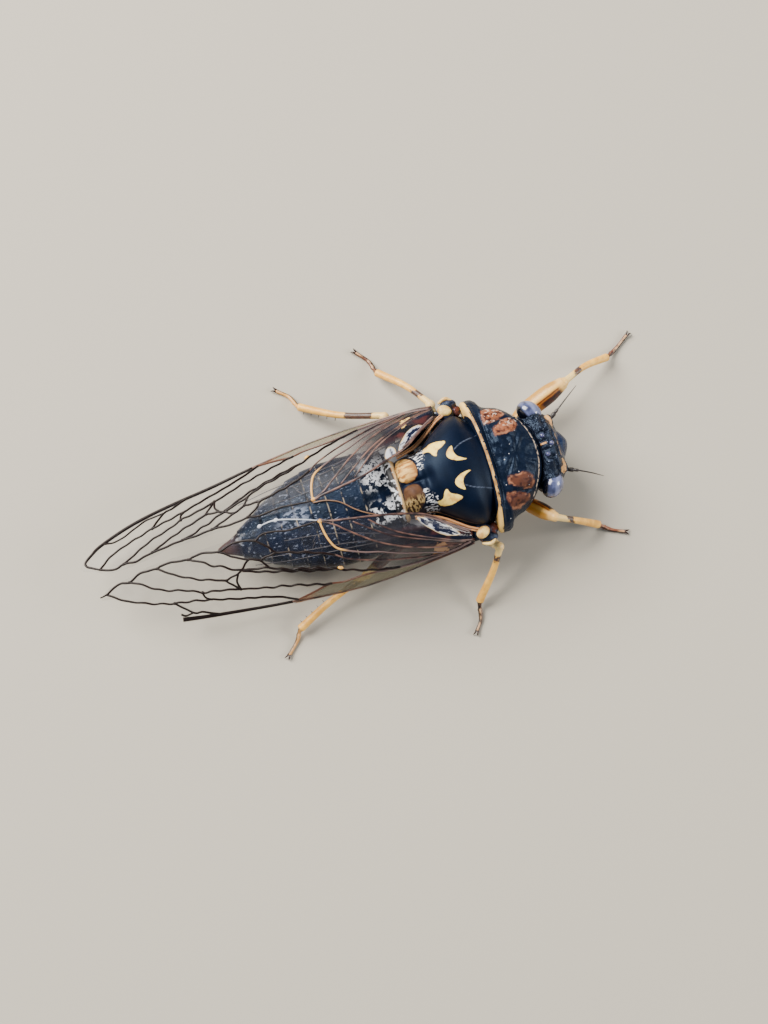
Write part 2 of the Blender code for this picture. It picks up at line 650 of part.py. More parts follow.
# Veins of the forewing, as (x, share) from the root outwards
BORDER_VEIN = ((-8.1, 0.0), (-9.5, 0.02), (-14.0, 0.0), (-19.6, 0.0), (-22.3, 0.01), (-26.0, 0.03),
               (-26.8, 0.33))
TIP_VEIN = ((-26.8, 0.33), (-27.2, 0.36), (-27.6, 0.6), (-27.2, 0.82), (-26.0, 1.0))
CLAVUS_EDGE = ((3.55, 0.1), (1.5, 0.04), (-2.0, 0.03), (-5.0, 0.03), (-8.1, 0.0))
RADIUS_VEIN = ((3.55, 0.8), (1.0, 0.82), (-3.0, 0.84), (-6.0, 0.86), (-9.0, 0.9), (-11.8, 0.98))
SHARED_VEINS = (
    RADIUS_VEIN,
    # radial sector branches, from the fore part of the wing
    ((-11.5, 0.95), (-12.8, 0.9), (-15.1, 0.85), (-17.0, 0.76), (-19.1, 0.64), (-20.4, 0.58), (-21.7, 0.6)),
    ((-21.7, 0.6), (-22.8, 0.53), (-24.0, 0.52), (-25.4, 0.4), (-26.8, 0.33)),
    ((-8.8, 0.9), (-10.1, 0.85), (-12.4, 0.8), (-15.1, 0.72), (-16.2, 0.65), (-17.8, 0.61), (-19.1, 0.56)),
    ((-19.1, 0.56), (-20.0, 0.47), (-21.4, 0.35), (-22.9, 0.18), (-24.6, 0.02)),
    # median and cubital stems, with their branches to the hind border
    ((-1.0, 0.82), (-4.0, 0.77), (-8.0, 0.72), (-9.6, 0.65), (-11.8, 0.55), (-13.4, 0.45), (-15.3, 0.42)),
    ((-15.3, 0.42), (-16.7, 0.47), (-17.6, 0.45), (-19.3, 0.36), (-20.9, 0.21), (-22.3, 0.01)),
    ((-15.3, 0.42), (-16.9, 0.31), (-18.3, 0.16), (-19.6, 0.0)),
    ((-14.7, 0.4), (-15.4, 0.29), (-16.2, 0.2), (-17.2, 0.0)),
    ((1.0, 0.72), (-3.5, 0.63), (-6.5, 0.49), (-7.6, 0.45), (-8.05, 0.33), (-8.1, 0.0)),
    ((-8.05, 0.33), (-9.6, 0.42), (-10.8, 0.38), (-12.0, 0.3), (-12.9, 0.2), (-14.0, 0.0)),
    ((3.0, 0.5), (0.5, 0.66), (-1.5, 0.58), (-3.0, 0.42), (-5.0, 0.22), (-6.6, 0.11), (-8.1, 0.0)),
    # cross-veins
    ((-16.2, 0.65), (-16.5, 0.56), (-16.7, 0.47)),
    ((-18.9, 0.65), (-19.1, 0.56)),
    ((-13.4, 0.45), (-13.6, 0.34), (-12.6, 0.28)),
)
WHOLE_TIP_VEINS = (
    TIP_VEIN,
    ((-18.3, 0.99), (-19.3, 0.91), (-20.4, 0.87), (-22.5, 0.84), (-24.8, 0.84), (-26.0, 1.0)),
    ((-20.4, 0.87), (-21.0, 0.72), (-21.7, 0.6)),
)
TORN_TIP_VEINS = (
    ((-18.3, 0.99), (-19.3, 0.91), (-20.4, 0.87), (-21.0, 0.74), (-21.7, 0.6)),
)
WHOLE_TIP_EDGE = ((-26.3, -0.06), (-27.1, 0.15), (-28.0, 0.38), (-28.3, 0.62), (-27.9, 0.86), (-27.0, 0.98),
                  (-26.0, 1.0))
TORN_TIP_EDGE = ((-26.3, -0.06), (-26.9, 0.1), (-27.25, 0.3), (-27.2, 0.42), (-26.7, 0.44), (-25.4, 0.5),
                 (-24.0, 0.61), (-22.8, 0.63), (-21.9, 0.7), (-21.2, 0.84), (-20.9, 0.9), (-21.1, 1.0))

# The hindwing lies under the forewing and is read on the same x and share
HIND_EDGE = ((-0.1, 0.34), (-1.5, 0.2), (-4.0, 0.1), (-8.0, 0.08), (-11.0, 0.13), (-13.5, 0.27), (-15.2, 0.45),
             (-14.2, 0.58), (-11.0, 0.63), (-7.0, 0.64), (-3.0, 0.66), (-1.0, 0.64), (-0.1, 0.56))
HIND_VEINS = (
    ((-0.2, 0.5), (-3.0, 0.58), (-7.0, 0.58), (-11.0, 0.57), (-14.4, 0.5)),
    ((-3.0, 0.58), (-6.0, 0.5), (-10.0, 0.46), (-14.4, 0.4)),
    ((-0.2, 0.44), (-3.5, 0.45), (-7.0, 0.38), (-10.5, 0.32), (-13.2, 0.27)),
    ((-3.5, 0.45), (-6.0, 0.3), (-9.0, 0.22), (-11.6, 0.18)),
    ((-0.2, 0.38), (-3.0, 0.28), (-6.5, 0.16), (-8.5, 0.12)),
    ((-9.0, 0.22), (-9.4, 0.34)),
    ((-9.2, 0.34), (-9.6, 0.46)),
)


def roof(share):
    """Fall of the wing from its inner to its costal edge, flat on top and steep outside."""
    if share < 0:
        return 0.05 * share
    return 0.05 * share + 0.95 * share ** 2.8


def wing_point(name, x, share, drop):
    """A point of the wing's middle surface, drop millimetres inside the forewing's."""

    def surface(at_x, at_share):
        inner = follow(INNER_Y[name], at_x)
        costal = follow(COSTAL_Y, at_x)
        high, low = follow(INNER_Z, at_x), follow(COSTAL_Z, at_x)
        return Vector((at_x, (inner + (costal - inner) * at_share) * SIDES[name],
                       high + (low - high) * roof(at_share)))

    place = surface(x, share)
    along = surface(x + 0.05, share) - surface(x - 0.05, share)
    across = surface(x, share + 0.02) - surface(x, share - 0.02)
    normal = along.cross(across).normalized()
    if normal.z < 0:
        normal = -normal
    return place - normal * drop, normal


def flat(x, share):
    """Lay a wing point out flat, so that triangles keep an even shape."""
    return Vector((x, share * follow(FLAT_WIDTH, x)))


def vein_path(points, step=VEIN_STEP):
    return smooth_path([flat(x, share) for x, share in points], step)


def distance_to_path(point, path):
    best = 1e9
    for a, b in zip(path, path[1:]):
        line = b - a
        t = max(0.0, min(1.0, (point - a).dot(line) / line.length_squared))
        best = min(best, (a + line * t - point).length)
    return best


def strip_lines(path):
    """A vein's middle line and its two feet, which stop short of the vein's ends."""
    sides = []
    for sign in (1.0, -1.0):
        line = []
        for i in range(1, len(path) - 1):
            ahead = (path[i + 1] - path[i - 1]).normalized()
            line.append(path[i] + Vector((-ahead.y, ahead.x)) * VEIN_HALF * sign)
        for end, near in ((0, 1), (-1, -2)):
            ahead = (path[end] - path[near]).normalized()
            reach = max(0.0, (path[end] - path[near]).length - 1.4 * VEIN_HALF)
            turn = sign if end == 0 else -sign
            foot = path[near] + ahead * reach - Vector((-ahead.y, ahead.x)) * VEIN_HALF * turn
            line.insert(0 if end == 0 else len(line), foot)
        sides.append(line)
    return [path] + sides


def wing_sheet(name, object_name, edge, ridges, drop, material, parent):
    """A membrane with raised veins: one flat triangulation, laid on both faces alike.

    A ridge is its crest, the half width of its foot, and the lines that the mesh follows.
    """
    points, edges = list(edge), [(i, (i + 1) % len(edge)) for i in range(len(edge))]
    for _, _, lines in ridges:
        for line in lines:
            first = len(points)
            points += line
            edges += [(first + i, first + i + 1) for i in range(len(line) - 1)]
    low_x, high_x = min(p.x for p in edge), max(p.x for p in edge)
    row = 0
    x = low_x + 1.0
    while x < high_x:
        y = -0.5 + (row % 2) * 0.9
        while y < 9.0:
            spot = Vector((x, y))
            near_edge = distance_to_path(spot, list(edge) + [edge[0]])
            near_vein = min(distance_to_path(spot, crest) for crest, _, _ in ridges)
            if min(near_edge, near_vein) > 0.75 and inside(spot, edge):
                points.append(spot)
            y += 1.8
        x += 1.8
        row += 1
    made = delaunay_2d_cdt(points, edges, [], 1, 0.03)
    spots, triangles = made[0], made[2]
    shape = bmesh.new()
    top, bottom = [], []
    for spot in spots:
        height = 0.0
        for crest, half, _ in ridges:
            height = max(height, VEIN_HEIGHT * (1 - distance_to_path(spot, crest) / half))
        place, normal = wing_point(name, spot.x, spot.y / follow(FLAT_WIDTH, spot.x), drop)
        top.append(shape.verts.new(place + normal * (MEMBRANE / 2 + height)))
        bottom.append(shape.verts.new(place - normal * MEMBRANE / 2))
    used = {}
    for a, b, c in triangles:
        shape.faces.new((top[a], top[b], top[c]))
        shape.faces.new((bottom[c], bottom[b], bottom[a]))
        for i, j in ((a, b), (b, c), (c, a)):
            used[(i, j)] = True
    for i, j in used:
        if (j, i) not in used:
            shape.faces.new((top[i], top[j], bottom[j]))
            shape.faces.new((top[i], bottom[j], bottom[i]))
    loose = [v for v in shape.verts if not v.link_faces]
    bmesh.ops.delete(shape, geom=loose, context="VERTS")
    return add_object(object_name, shape, material, parent)


def inside(point, outline):
    crossings = 0
    for a, b in zip(outline, outline[1:] + outline[:1]):
        if (a.y > point.y) != (b.y > point.y):
            if point.x < a.x + (point.y - a.y) / (b.y - a.y) * (b.x - a.x):
                crossings += 1
    return crossings % 2 == 1


def vein(points, step=VEIN_STEP):
    path = vein_path(points, step)
    return path, VEIN_HALF, strip_lines(path)


def forewing_edge(tip_edge):
    """The outline: inner edge outwards and round the tip, then back along the costal edge."""
    inner = [flat(WING_START_X, 0.0)]
    x = WING_START_X - VEIN_STEP
    while x > tip_edge[0][0] + 0.6:
        border = BORDER * min(1.0, max(0.0, (-7.4 - x) / 1.6))
        inner.append(flat(x, 0.0) - Vector((0, border)))
        x -= VEIN_STEP
    tip = vein_path(tip_edge, 0.6)
    costal = [tip.pop()]
    x = tip_edge[-1][0] + VEIN_STEP
    while x < WING_START_X - 0.6:
        costal.append(flat(x, 1.0))
        x += VEIN_STEP
    return inner + tip, costal + [flat(WING_START_X, 1.0)]


def add_forewing(name, parent, material):
    whole = name == "left"
    around, costal = forewing_edge(WHOLE_TIP_EDGE if whole else TORN_TIP_EDGE)
    veins = list(SHARED_VEINS) + list(WHOLE_TIP_VEINS if whole else TORN_TIP_VEINS)
    ridges = [vein(points) for points in veins + [BORDER_VEIN, CLAVUS_EDGE]]
    foot = [spot - Vector((0, COSTA_HALF)) for spot in costal[1:-1]]
    ridges.append((costal, COSTA_HALF, [foot]))
    wing_sheet(name, f"forewing_{name}", around + costal, ridges, 0.0, material, parent)


def add_hindwing(name, parent, material):
    edge = vein_path(HIND_EDGE, 1.2)
    ridges = [vein(points, 1.8) for points in HIND_VEINS]
    wing_sheet(name, f"hindwing_{name}", edge, ridges, HINDWING_DROP, material, parent)


def build():
    clear_scene()
    frame = add_body_frame()
    shell_black = make_material("blue_black_shell", (0.012, 0.014, 0.022), 0.3)
    satin_black = make_material("satin_black", (0.01, 0.013, 0.022), 0.38)
    eye_grey = make_material("eye_slate", (0.09, 0.1, 0.17), 0.15)
    rust = make_material("pronotum_rust", (0.11, 0.045, 0.02), 0.55)
    tan = make_material("tan_band", (0.6, 0.4, 0.18), 0.5)
    amber = make_material("leg_amber", (0.5, 0.27, 0.09), 0.4)
    pale = make_material("leg_pale", (0.68, 0.44, 0.17), 0.45)
    brown = make_material("tip_brown", (0.12, 0.05, 0.02), 0.4)
    clear_wing = make_material("wing_membrane", (0.45, 0.4, 0.3), 0.2, 0.4)
    add_head(frame, shell_black)
    add_eyes(frame, eye_grey)
    add_antennae(frame, shell_black)
    add_beak(frame, brown)
    add_pronotum(frame, rust)
    add_mesonotum(frame, satin_black)
    add_metanotum(frame, tan)
    add_thorax(frame, shell_black)
    add_abdomen(frame, shell_black, brown)
    for leg in LEGS:
        add_femur(leg, frame, amber)
        add_tibia(leg, frame, pale)
        add_tarsus(leg, frame, brown)
    for name in SIDES:
        add_forewing(name, frame, clear_wing)
        add_hindwing(name, frame, clear_wing)


build()
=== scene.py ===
"""The looks of a cicada at rest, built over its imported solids.

Shapes are made in the insect's own millimetres, which are the same as the solids' ones: x runs
to the head, y to its left and z up from the soles, and x is 0 at the bosses of the mesonotum.
"""
import math

import bmesh
import bpy
import numpy as np
from mathutils import Matrix, Vector, noise


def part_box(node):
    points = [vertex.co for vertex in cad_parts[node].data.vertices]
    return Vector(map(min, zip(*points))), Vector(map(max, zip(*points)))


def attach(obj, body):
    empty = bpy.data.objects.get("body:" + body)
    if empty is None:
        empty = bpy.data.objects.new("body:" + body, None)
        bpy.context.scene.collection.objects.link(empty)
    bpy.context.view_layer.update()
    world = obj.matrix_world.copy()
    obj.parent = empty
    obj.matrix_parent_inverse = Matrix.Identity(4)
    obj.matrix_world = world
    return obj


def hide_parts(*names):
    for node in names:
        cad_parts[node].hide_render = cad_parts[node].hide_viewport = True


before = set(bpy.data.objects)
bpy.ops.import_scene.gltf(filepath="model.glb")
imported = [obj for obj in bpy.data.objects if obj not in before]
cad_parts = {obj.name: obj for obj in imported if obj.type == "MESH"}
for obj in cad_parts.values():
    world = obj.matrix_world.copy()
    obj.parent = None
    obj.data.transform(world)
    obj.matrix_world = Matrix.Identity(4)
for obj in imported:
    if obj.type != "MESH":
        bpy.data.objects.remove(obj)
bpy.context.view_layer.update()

# The camera looks almost straight down, leaning a little back and over the insect's right
# side, and the head points right and a little up the picture.
MM = 0.001
MIDLINE = -0.1
notum_low, notum_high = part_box("mesonotum")
BODY_ZERO = Vector((notum_low.x + 0.95 * MM, (notum_low.y + notum_high.y) / 2 - MIDLINE * MM, 0))
LENS = 58
CAMERA_AWAY = 0.141
CAMERA_LEAN = math.radians(8)
CAMERA_SIDE = math.radians(251.5)
PICTURE_TURN = math.radians(17.2)
AIM = Vector((-2.6, -0.6, 0))

toward = Vector((math.sin(CAMERA_LEAN) * math.cos(CAMERA_SIDE),
                 math.sin(CAMERA_LEAN) * math.sin(CAMERA_SIDE),
                 math.cos(CAMERA_LEAN)))
rightward = Vector((math.cos(PICTURE_TURN), -math.sin(PICTURE_TURN), 0))
rightward = (rightward - toward * rightward.dot(toward)).normalized()
camera = bpy.data.objects.new("camera", bpy.data.cameras.new("camera"))
camera.data.lens = LENS
camera.data.clip_start = 0.01
seat = Matrix((rightward, toward.cross(rightward), toward)).transposed().to_4x4()
camera.matrix_world = Matrix.Translation(BODY_ZERO + AIM * MM + toward * CAMERA_AWAY) @ seat
bpy.context.scene.collection.objects.link(camera)
bpy.context.scene.camera = camera

# The floor is a plain pale sheet, and the light is a wide pale sky with one large soft box
# over the insect's left shoulder, so that shadows stay short and soft.
sheet = bmesh.new()
bmesh.ops.create_grid(sheet, x_segments=1, y_segments=1, size=0.6)
floor_mesh = bpy.data.meshes.new("floor")
sheet.to_mesh(floor_mesh)
sheet.free()
floor = bpy.data.objects.new("floor", floor_mesh)
bpy.context.scene.collection.objects.link(floor)
floor_paint = bpy.data.materials.new("floor_paint")
floor_paint.use_nodes = True
floor_shader = floor_paint.node_tree.nodes["Principled BSDF"]
floor_shader.inputs["Base Color"].default_value = (0.43, 0.395, 0.33, 1)
floor_shader.inputs["Roughness"].default_value = 0.85
floor_mesh.materials.append(floor_paint)

world = bpy.data.worlds.new("studio")
world.use_nodes = True
sky = world.node_tree.nodes["Background"]
sky.inputs["Color"].default_value = (0.76, 0.88, 1.0, 1)
sky.inputs["Strength"].default_value = 0.38
bpy.context.scene.world = world
LAMPS = (("key", (-0.2, 0.26, 0.3), 0.3, 7.2), ("rim", (0.3, -0.1, 0.16), 0.14, 1.2))
for name, place, size, power in LAMPS:
    lamp = bpy.data.objects.new(name, bpy.data.lights.new(name, "AREA"))
    lamp.data.size = size
    lamp.data.energy = power
    lamp.data.color = (1.0, 0.95, 0.88)
    lamp.location = place
    lamp.rotation_euler = (-Vector(place)).to_track_quat("-Z", "Y").to_euler()
    bpy.context.scene.collection.objects.link(lamp)


# The middle and hind thorax below the back plates: black side plates with dusty white seams,
# the short thick hips that carry the legs, and the knuckles that the wings turn on.
def srgb(red, green, blue):
    """A colour as a picture shows it, from 0 to 255, as the shader's linear one."""
    return tuple((part / 255) ** 2.2 for part in (red, green, blue)) + (1.0,)


class Amount:
    """A number that varies over a surface. Arithmetic on it adds the shader's own maths."""

    def __init__(self, finish, socket):
        self.finish = finish
        self.socket = socket

    def math(self, operation, *values):
        sockets = dict(enumerate(values))
        return Amount(self.finish, self.finish.node("ShaderNodeMath", {"operation": operation}, sockets))

    def __add__(self, other):
        return self.math("ADD", self, other)

    def __sub__(self, other):
        return self.math("SUBTRACT", self, other)

    def __rsub__(self, other):
        return self.math("SUBTRACT", other, self)

    def __mul__(self, other):
        return self.math("MULTIPLY", self, other)

    def __truediv__(self, other):
        return self.math("DIVIDE", self, other)

    def __abs__(self):
        return self.math("ABSOLUTE", self)

    __radd__ = __add__
    __rmul__ = __mul__

    def over(self, edge, soft=0.1):
        """0 below the edge and 1 above it, with a soft step between."""
        sockets = {"Value": self, "From Min": edge - soft / 2, "From Max": edge + soft / 2}
        step = self.finish.node("ShaderNodeMapRange", {"interpolation_type": "SMOOTHSTEP"}, sockets)
        return Amount(self.finish, step)

    def under(self, edge, soft=0.1):
        return 1 - self.over(edge, soft)

    def most(self, other):
        return self.math("MAXIMUM", self, other)


class Finish:
    """One surface finish. Its nodes read the object's own place, in the insect's millimetres."""

    def __init__(self, name, **constants):
        self.material = bpy.data.materials.new(name)
        self.material.use_nodes = True
        self.tree = self.material.node_tree
        self.shader = self.tree.nodes["Principled BSDF"]
        for socket, value in constants.items():
            self.shader.inputs[socket.replace("_", " ")].default_value = value
        place = self.node("ShaderNodeTexCoord", {}, {}, "Object")
        sockets = {"Vector": place, "Location": -BODY_ZERO / MM, "Scale": (1 / MM,) * 3}
        self.point = self.node("ShaderNodeMapping", {}, sockets)
        self.x, self.y, self.z = (Amount(self, self.node("ShaderNodeSeparateXYZ", {}, {0: self.point}, i))
                                  for i in range(3))
        self.across = self.y - MIDLINE

    def node(self, kind, settings, sockets, output=0):
        """Any node: its settings first, then the values or links of its sockets."""
        made = self.tree.nodes.new(kind)
        for name, value in settings.items():
            setattr(made, name, value)
        for name, value in sockets.items():
            value = value.socket if isinstance(value, Amount) else value
            if isinstance(value, bpy.types.NodeSocket):
                self.tree.links.new(value, made.inputs[name])
            else:
                made.inputs[name].default_value = value
        return made.outputs[output]

    def noise(self, scale, detail=3.0, stretch=(1, 1, 1)):
        """Cloudy values from 0 to 1, with scale lumps to the millimetre."""
        spread = self.node("ShaderNodeVectorMath", {"operation": "MULTIPLY"}, {0: self.point, 1: stretch})
        sockets = {"Vector": spread, "Scale": scale, "Detail": detail}
        return Amount(self, self.node("ShaderNodeTexNoise", {}, sockets))

    def cells(self, scale, feature="F1", stretch=(1, 1, 1)):
        """Distance to the nearest of many scattered points, or to the wall between two."""
        spread = self.node("ShaderNodeVectorMath", {"operation": "MULTIPLY"}, {0: self.point, 1: stretch})
        sockets = {"Vector": spread, "Scale": scale}
        return Amount(self, self.node("ShaderNodeTexVoronoi", {"feature": feature}, sockets))

    def drawn(self, name):
        """A value that was worked out for each vertex of the mesh."""
        return Amount(self, self.node("ShaderNodeAttribute", {"attribute_name": name}, {}, "Fac"))

    def blend(self, share, first, second):
        """The first colour where share is 0, and the second where it is 1."""
        return self.node("ShaderNodeMix", {"data_type": "RGBA"}, {0: share, 6: first, 7: second}, 2)

    def coat(self, colour, roughness=None, height=None, depth=0.05, alpha=None):
        """Feed the shader: colour, roughness, see-through share, and relief depth mm deep."""
        sockets = {"Base Color": colour}
        if roughness is not None:
            sockets["Roughness"] = roughness
        if alpha is not None:
            sockets["Alpha"] = alpha
        if height is not None:
            relief = {"Height": height, "Distance": depth * MM}
            sockets["Normal"] = self.node("ShaderNodeBump", {}, relief, "Normal")
        for name, value in sockets.items():
            value = value.socket if isinstance(value, Amount) else value
            if isinstance(value, bpy.types.NodeSocket):
                self.tree.links.new(value, self.shader.inputs[name])
            else:
                self.shader.inputs[name].default_value = value
        return self


def rounded(value, power):
    return math.copysign(abs(value) ** power, value)


def between(a, b, c, d, t):
    """The smooth curve from b to c, with a before them and d after."""
    return 0.5 * (2 * b + (c - a) * t + (2 * a - 5 * b + 4 * c - d) * t * t
                  + (3 * b - a - 3 * c + d) * t ** 3)


def along(points, share):
    """A smooth curve through vectors of any length, read at a share of its whole run."""
    reach = min(max(share, 0.0), 1.0) * (len(points) - 1)
    i = min(int(reach), len(points) - 2)
    t = reach - i
    b, c = Vector(points[i]), Vector(points[i + 1])
    a = Vector(points[i - 1]) if i > 0 else b * 2 - c
    d = Vector(points[i + 2]) if i + 2 < len(points) else c * 2 - b
    return between(a, b, c, d, t)


def wrap(around, lengthwise, place):
    """A closed skin: a grid laid over place(turn, share), its seam welded and its ends filled."""
    shape = bmesh.new()
    bmesh.ops.create_grid(shape, x_segments=around, y_segments=lengthwise, size=0.5)
    for vert in shape.verts:
        vert.co = place(vert.co.x + 0.5, vert.co.y + 0.5)
    bmesh.ops.remove_doubles(shape, verts=shape.verts, dist=0.0008)
    bmesh.ops.holes_fill(shape, edges=shape.edges, sides=0)
    bmesh.ops.recalc_face_normals(shape, faces=shape.faces)
    return shape


def rod(points, radii, around=16, lengthwise=40, up=(0, 0, 1)):
    """A round bar along a smooth curve, its thickness read from radii spread along it."""
    stations = [Vector((*point, 0)) for point in points]
    thickness = [Vector((radius, 0)) for radius in radii]

    def place(turn, share):
        middle = along(stations, share).to_3d()
        ahead = (along(stations, share + 0.01) - along(stations, share - 0.01)).to_3d().normalized()
        across = ahead.cross(Vector(up)).normalized()
        radius = along(thickness, share).x
        angle = math.tau * turn
        return middle + (across * math.cos(angle) + across.cross(ahead) * math.sin(angle)) * radius

    return wrap(around, lengthwise, place)


def ball(centre, radii, turn=0.0, segments=32, rings=20):
    shape = bmesh.new()
    bmesh.ops.create_uvsphere(shape, u_segments=segments, v_segments=rings, radius=1)
    place = Matrix.Translation(centre) @ Matrix.Rotation(turn, 4, "Z") @ Matrix.Diagonal((*radii, 1))
    bmesh.ops.transform(shape, matrix=place, verts=shape.verts)
    return shape


def gather(shapes):
    """Several shapes as one."""
    whole = bmesh.new()
    for shape in shapes:
        scrap = bpy.data.meshes.new("scrap")
        shape.to_mesh(scrap)
        shape.free()
        whole.from_mesh(scrap)
        bpy.data.meshes.remove(scrap)
    return whole


def mirrored(point, side):
    """A point of the left side, measured from the midline, or its match on the right."""
    return Vector((point[0], point[1] * side + MIDLINE, point[2]))


def add_piece(name, shape, finishes, slot, *nodes, grain=None):
    """Put a shape where the frame has the insect. A grain in mm melts its parts into one skin."""
    bmesh.ops.transform(shape, matrix=Matrix.Translation(BODY_ZERO) @ Matrix.Scale(MM, 4), verts=shape.verts)
    mesh = bpy.data.meshes.new(name)
    shape.to_mesh(mesh)
    shape.free()
    piece = bpy.data.objects.new(name, mesh)
    bpy.context.scene.collection.objects.link(piece)
    if grain:
        melt = piece.modifiers.new("melt", "REMESH")
        melt.mode = "VOXEL"
        melt.voxel_size = grain * MM
        smooth = piece.modifiers.new("smooth", "SMOOTH")
        smooth.iterations = 4
        graph = bpy.context.evaluated_depsgraph_get()
        melted = bpy.data.meshes.new_from_object(piece.evaluated_get(graph))
        piece.modifiers.clear()
        piece.data = melted
        bpy.data.meshes.remove(mesh)
        mesh = melted
    mesh.materials.clear()
    for finish in finishes:
        mesh.materials.append(finish.material)
    mesh.shade_smooth()
    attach(piece, "root")
    if nodes:
        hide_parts(*nodes)
    return piece


def vertex_places(piece):
    """Every vertex in the insect's millimetres, one row each."""
    places = np.empty(len(piece.data.vertices) * 3)
    piece.data.vertices.foreach_get("co", places)
    return (places.reshape(-1, 3) - np.array(BODY_ZERO)) / MM


def draw(piece, name, values):
    """Keep one value for each vertex, for the finish to read."""
    layer = piece.data.attributes.new(name, "FLOAT", "POINT")
    layer.data.foreach_set("value", np.asarray(values, np.float32))


SIDES = {"left": 1, "right": -1}
THORAX = (
    # x, half width, height of the underside
    (6.1, 4.2, 2.0), (5.5, 4.7, 1.6), (4.6, 4.85, 1.45), (3.4, 4.7, 1.4), (2.0, 4.45, 1.4),
    (0.8, 4.3, 1.45), (-0.4, 4.1, 1.6), (-1.2, 3.95, 1.9), (-1.9, 3.8, 2.2))
DECK = 5.0
LEGS = {
    # hip, knee, a point the shin bends through, ankle, middle of the foot, toe, thigh radius
    "fore_left": ((9.6, 3.2, 1.55), (15.15, 5.1, 3.2), (17.3, 6.0, 2.3), (19.7, 6.5, 0.75),
                  (20.8, 7.1, 0.22), (22.05, 7.95, 0.22), 0.82),
    "fore_right": ((8.6, -3.2, 1.3), (10.6, -5.8, 4.6), (12.7, -6.55, 2.9), (14.45, -7.1, 0.75),
                   (15.5, -7.85, 0.22), (16.5, -8.3, 0.22), 0.66),
    "mid_left": ((3.3, 3.2, 1.2), (3.65, 6.5, 3.8), (2.3, 8.8, 2.4), (0.35, 11.05, 0.75),
                 (-0.05, 12.4, 0.22), (-0.85, 13.4, 0.22), 0.5),
    "mid_right": ((3.3, -3.3, 1.2), (5.5, -6.8, 4.2), (4.5, -8.4, 2.7), (2.8, -10.35, 0.75),
                  (2.5, -11.8, 0.22), (1.9, -12.65, 0.22), 0.5),
    "hind_left": ((-0.6, 3.1, 1.3), (-0.3, 6.85, 2.9), (-3.8, 8.2, 1.85), (-6.95, 10.15, 0.75),
                  (-7.5, 11.4, 0.22), (-8.4, 12.2, 0.22), 0.5),
    "hind_right": ((-0.6, -3.1, 1.3), (-5.7, -5.55, 2.2), (-9.3, -6.75, 1.5), (-12.3, -8.1, 0.75),
                   (-12.9, -9.0, 0.22), (-13.85, -9.9, 0.22), 0.5),
}
BLUE_BLACK = srgb(14, 19, 28)
WHITE_DUST = srgb(214, 216, 222)
BLUE_SHEEN = (0.5, 0.7, 1.0, 1)


def thorax_place(turn, share):
    x, half, bottom = along(THORAX, share)
    angle = math.tau * turn
    drop = (DECK - bottom) if math.sin(angle) < 0 else 0.45
    fold = 0.12 * math.sin(4 * math.pi * share + 3 * abs(math.cos(angle))) * max(0.0, -math.sin(angle))
    return Vector((x, MIDLINE + (half - fold) * rounded(math.cos(angle), 1.02),
                   DECK + drop * math.sin(angle)))


def hip_shape(leg):
    """The hip and the small ring joint under it, down to where the thigh starts."""
    hip = Vector(LEGS[leg][0])
    root = Vector((hip.x, hip.y * 0.5, hip.z + 1.7))
    return rod([root, root.lerp(hip, 0.5), hip, hip + (hip - root) * 0.15], [0.7, 0.66, 0.5, 0.3],
               20, 16, (1, 0, 0))


thorax_parts = [wrap(96, 60, thorax_place)]
for side in SIDES.values():
    thorax_parts.append(ball(mirrored((3.6, 4.85, 4.45), side), (1.7, 0.85, 0.52)))
    thorax_parts.append(ball(mirrored((1.5, 4.15, 5.0), side), (1.1, 0.4, 0.75), math.radians(28) * side))
thorax_parts += [hip_shape(leg) for leg in LEGS if not leg.startswith("fore")]
side_plate = Finish("side_plate", Roughness=0.35, Specular_IOR_Level=0.3, Specular_Tint=BLUE_SHEEN)
dust = side_plate.noise(1.6, 6).over(0.6, 0.1) * side_plate.z.over(3.6, 1.5)
side_colour = side_plate.blend(side_plate.noise(3), BLUE_BLACK, srgb(26, 28, 38))
hips = side_plate.z.under(2.1, 0.7) * side_plate.noise(1.5).over(0.42, 0.2)
side_colour = side_plate.blend(hips * 0.75, side_colour, srgb(176, 122, 62))
side_colour = side_plate.blend(dust * 0.6, side_colour, WHITE_DUST)
back_wax = side_plate.x.under(0.4, 0.5) * side_plate.z.over(4.2, 0.5)
back_wax = back_wax * side_plate.noise(1.6, 7).over(0.42, 0.08)
side_colour = side_plate.blend(back_wax, side_colour, WHITE_DUST)
side_plate.coat(side_colour, 0.32 + 0.4 * dust, side_plate.noise(9, 5), 0.04)
add_piece("thorax_skin", gather(thorax_parts), [side_plate], "blue_black_shell", "thorax", grain=0.09)

# The abdomen: nine overlapping rings of black shell with a blue sheen, narrow tan hind edges
# broken into dashes, and patches of white wax where the rings meet the thorax.
ABDOMEN = (
    # x, half width, widest level, top, bottom, how far it leans to the left
    (-1.75, 3.95, 4.4, 6.85, 1.95, 0.0), (-3.0, 4.22, 4.3, 6.98, 1.6, 0.0),
    (-5.0, 4.43, 4.12, 6.84, 1.38, 0.0), (-7.0, 4.38, 3.9, 6.5, 1.36, 0.05),
    (-8.6, 4.13, 3.74, 6.1, 1.34, 0.09), (-10.2, 3.63, 3.6, 5.68, 1.38, 0.12),
    (-12.0, 2.83, 3.36, 5.08, 1.5, 0.07), (-13.4, 2.03, 3.2, 4.58, 1.75, 0.04),
    (-15.0, 1.08, 3.0, 3.88, 2.1, 0.0), (-15.9, 0.62, 3.0, 3.5, 2.4, 0.0),
    (-16.5, 0.36, 3.0, 3.25, 2.6, 0.0), (-16.88, 0.14, 3.0, 3.1, 2.86, 0.0))
RING_ENDS = (-2.9, -4.25, -5.85, -7.2, -8.65, -10.0, -11.3, -12.8, -15.0)


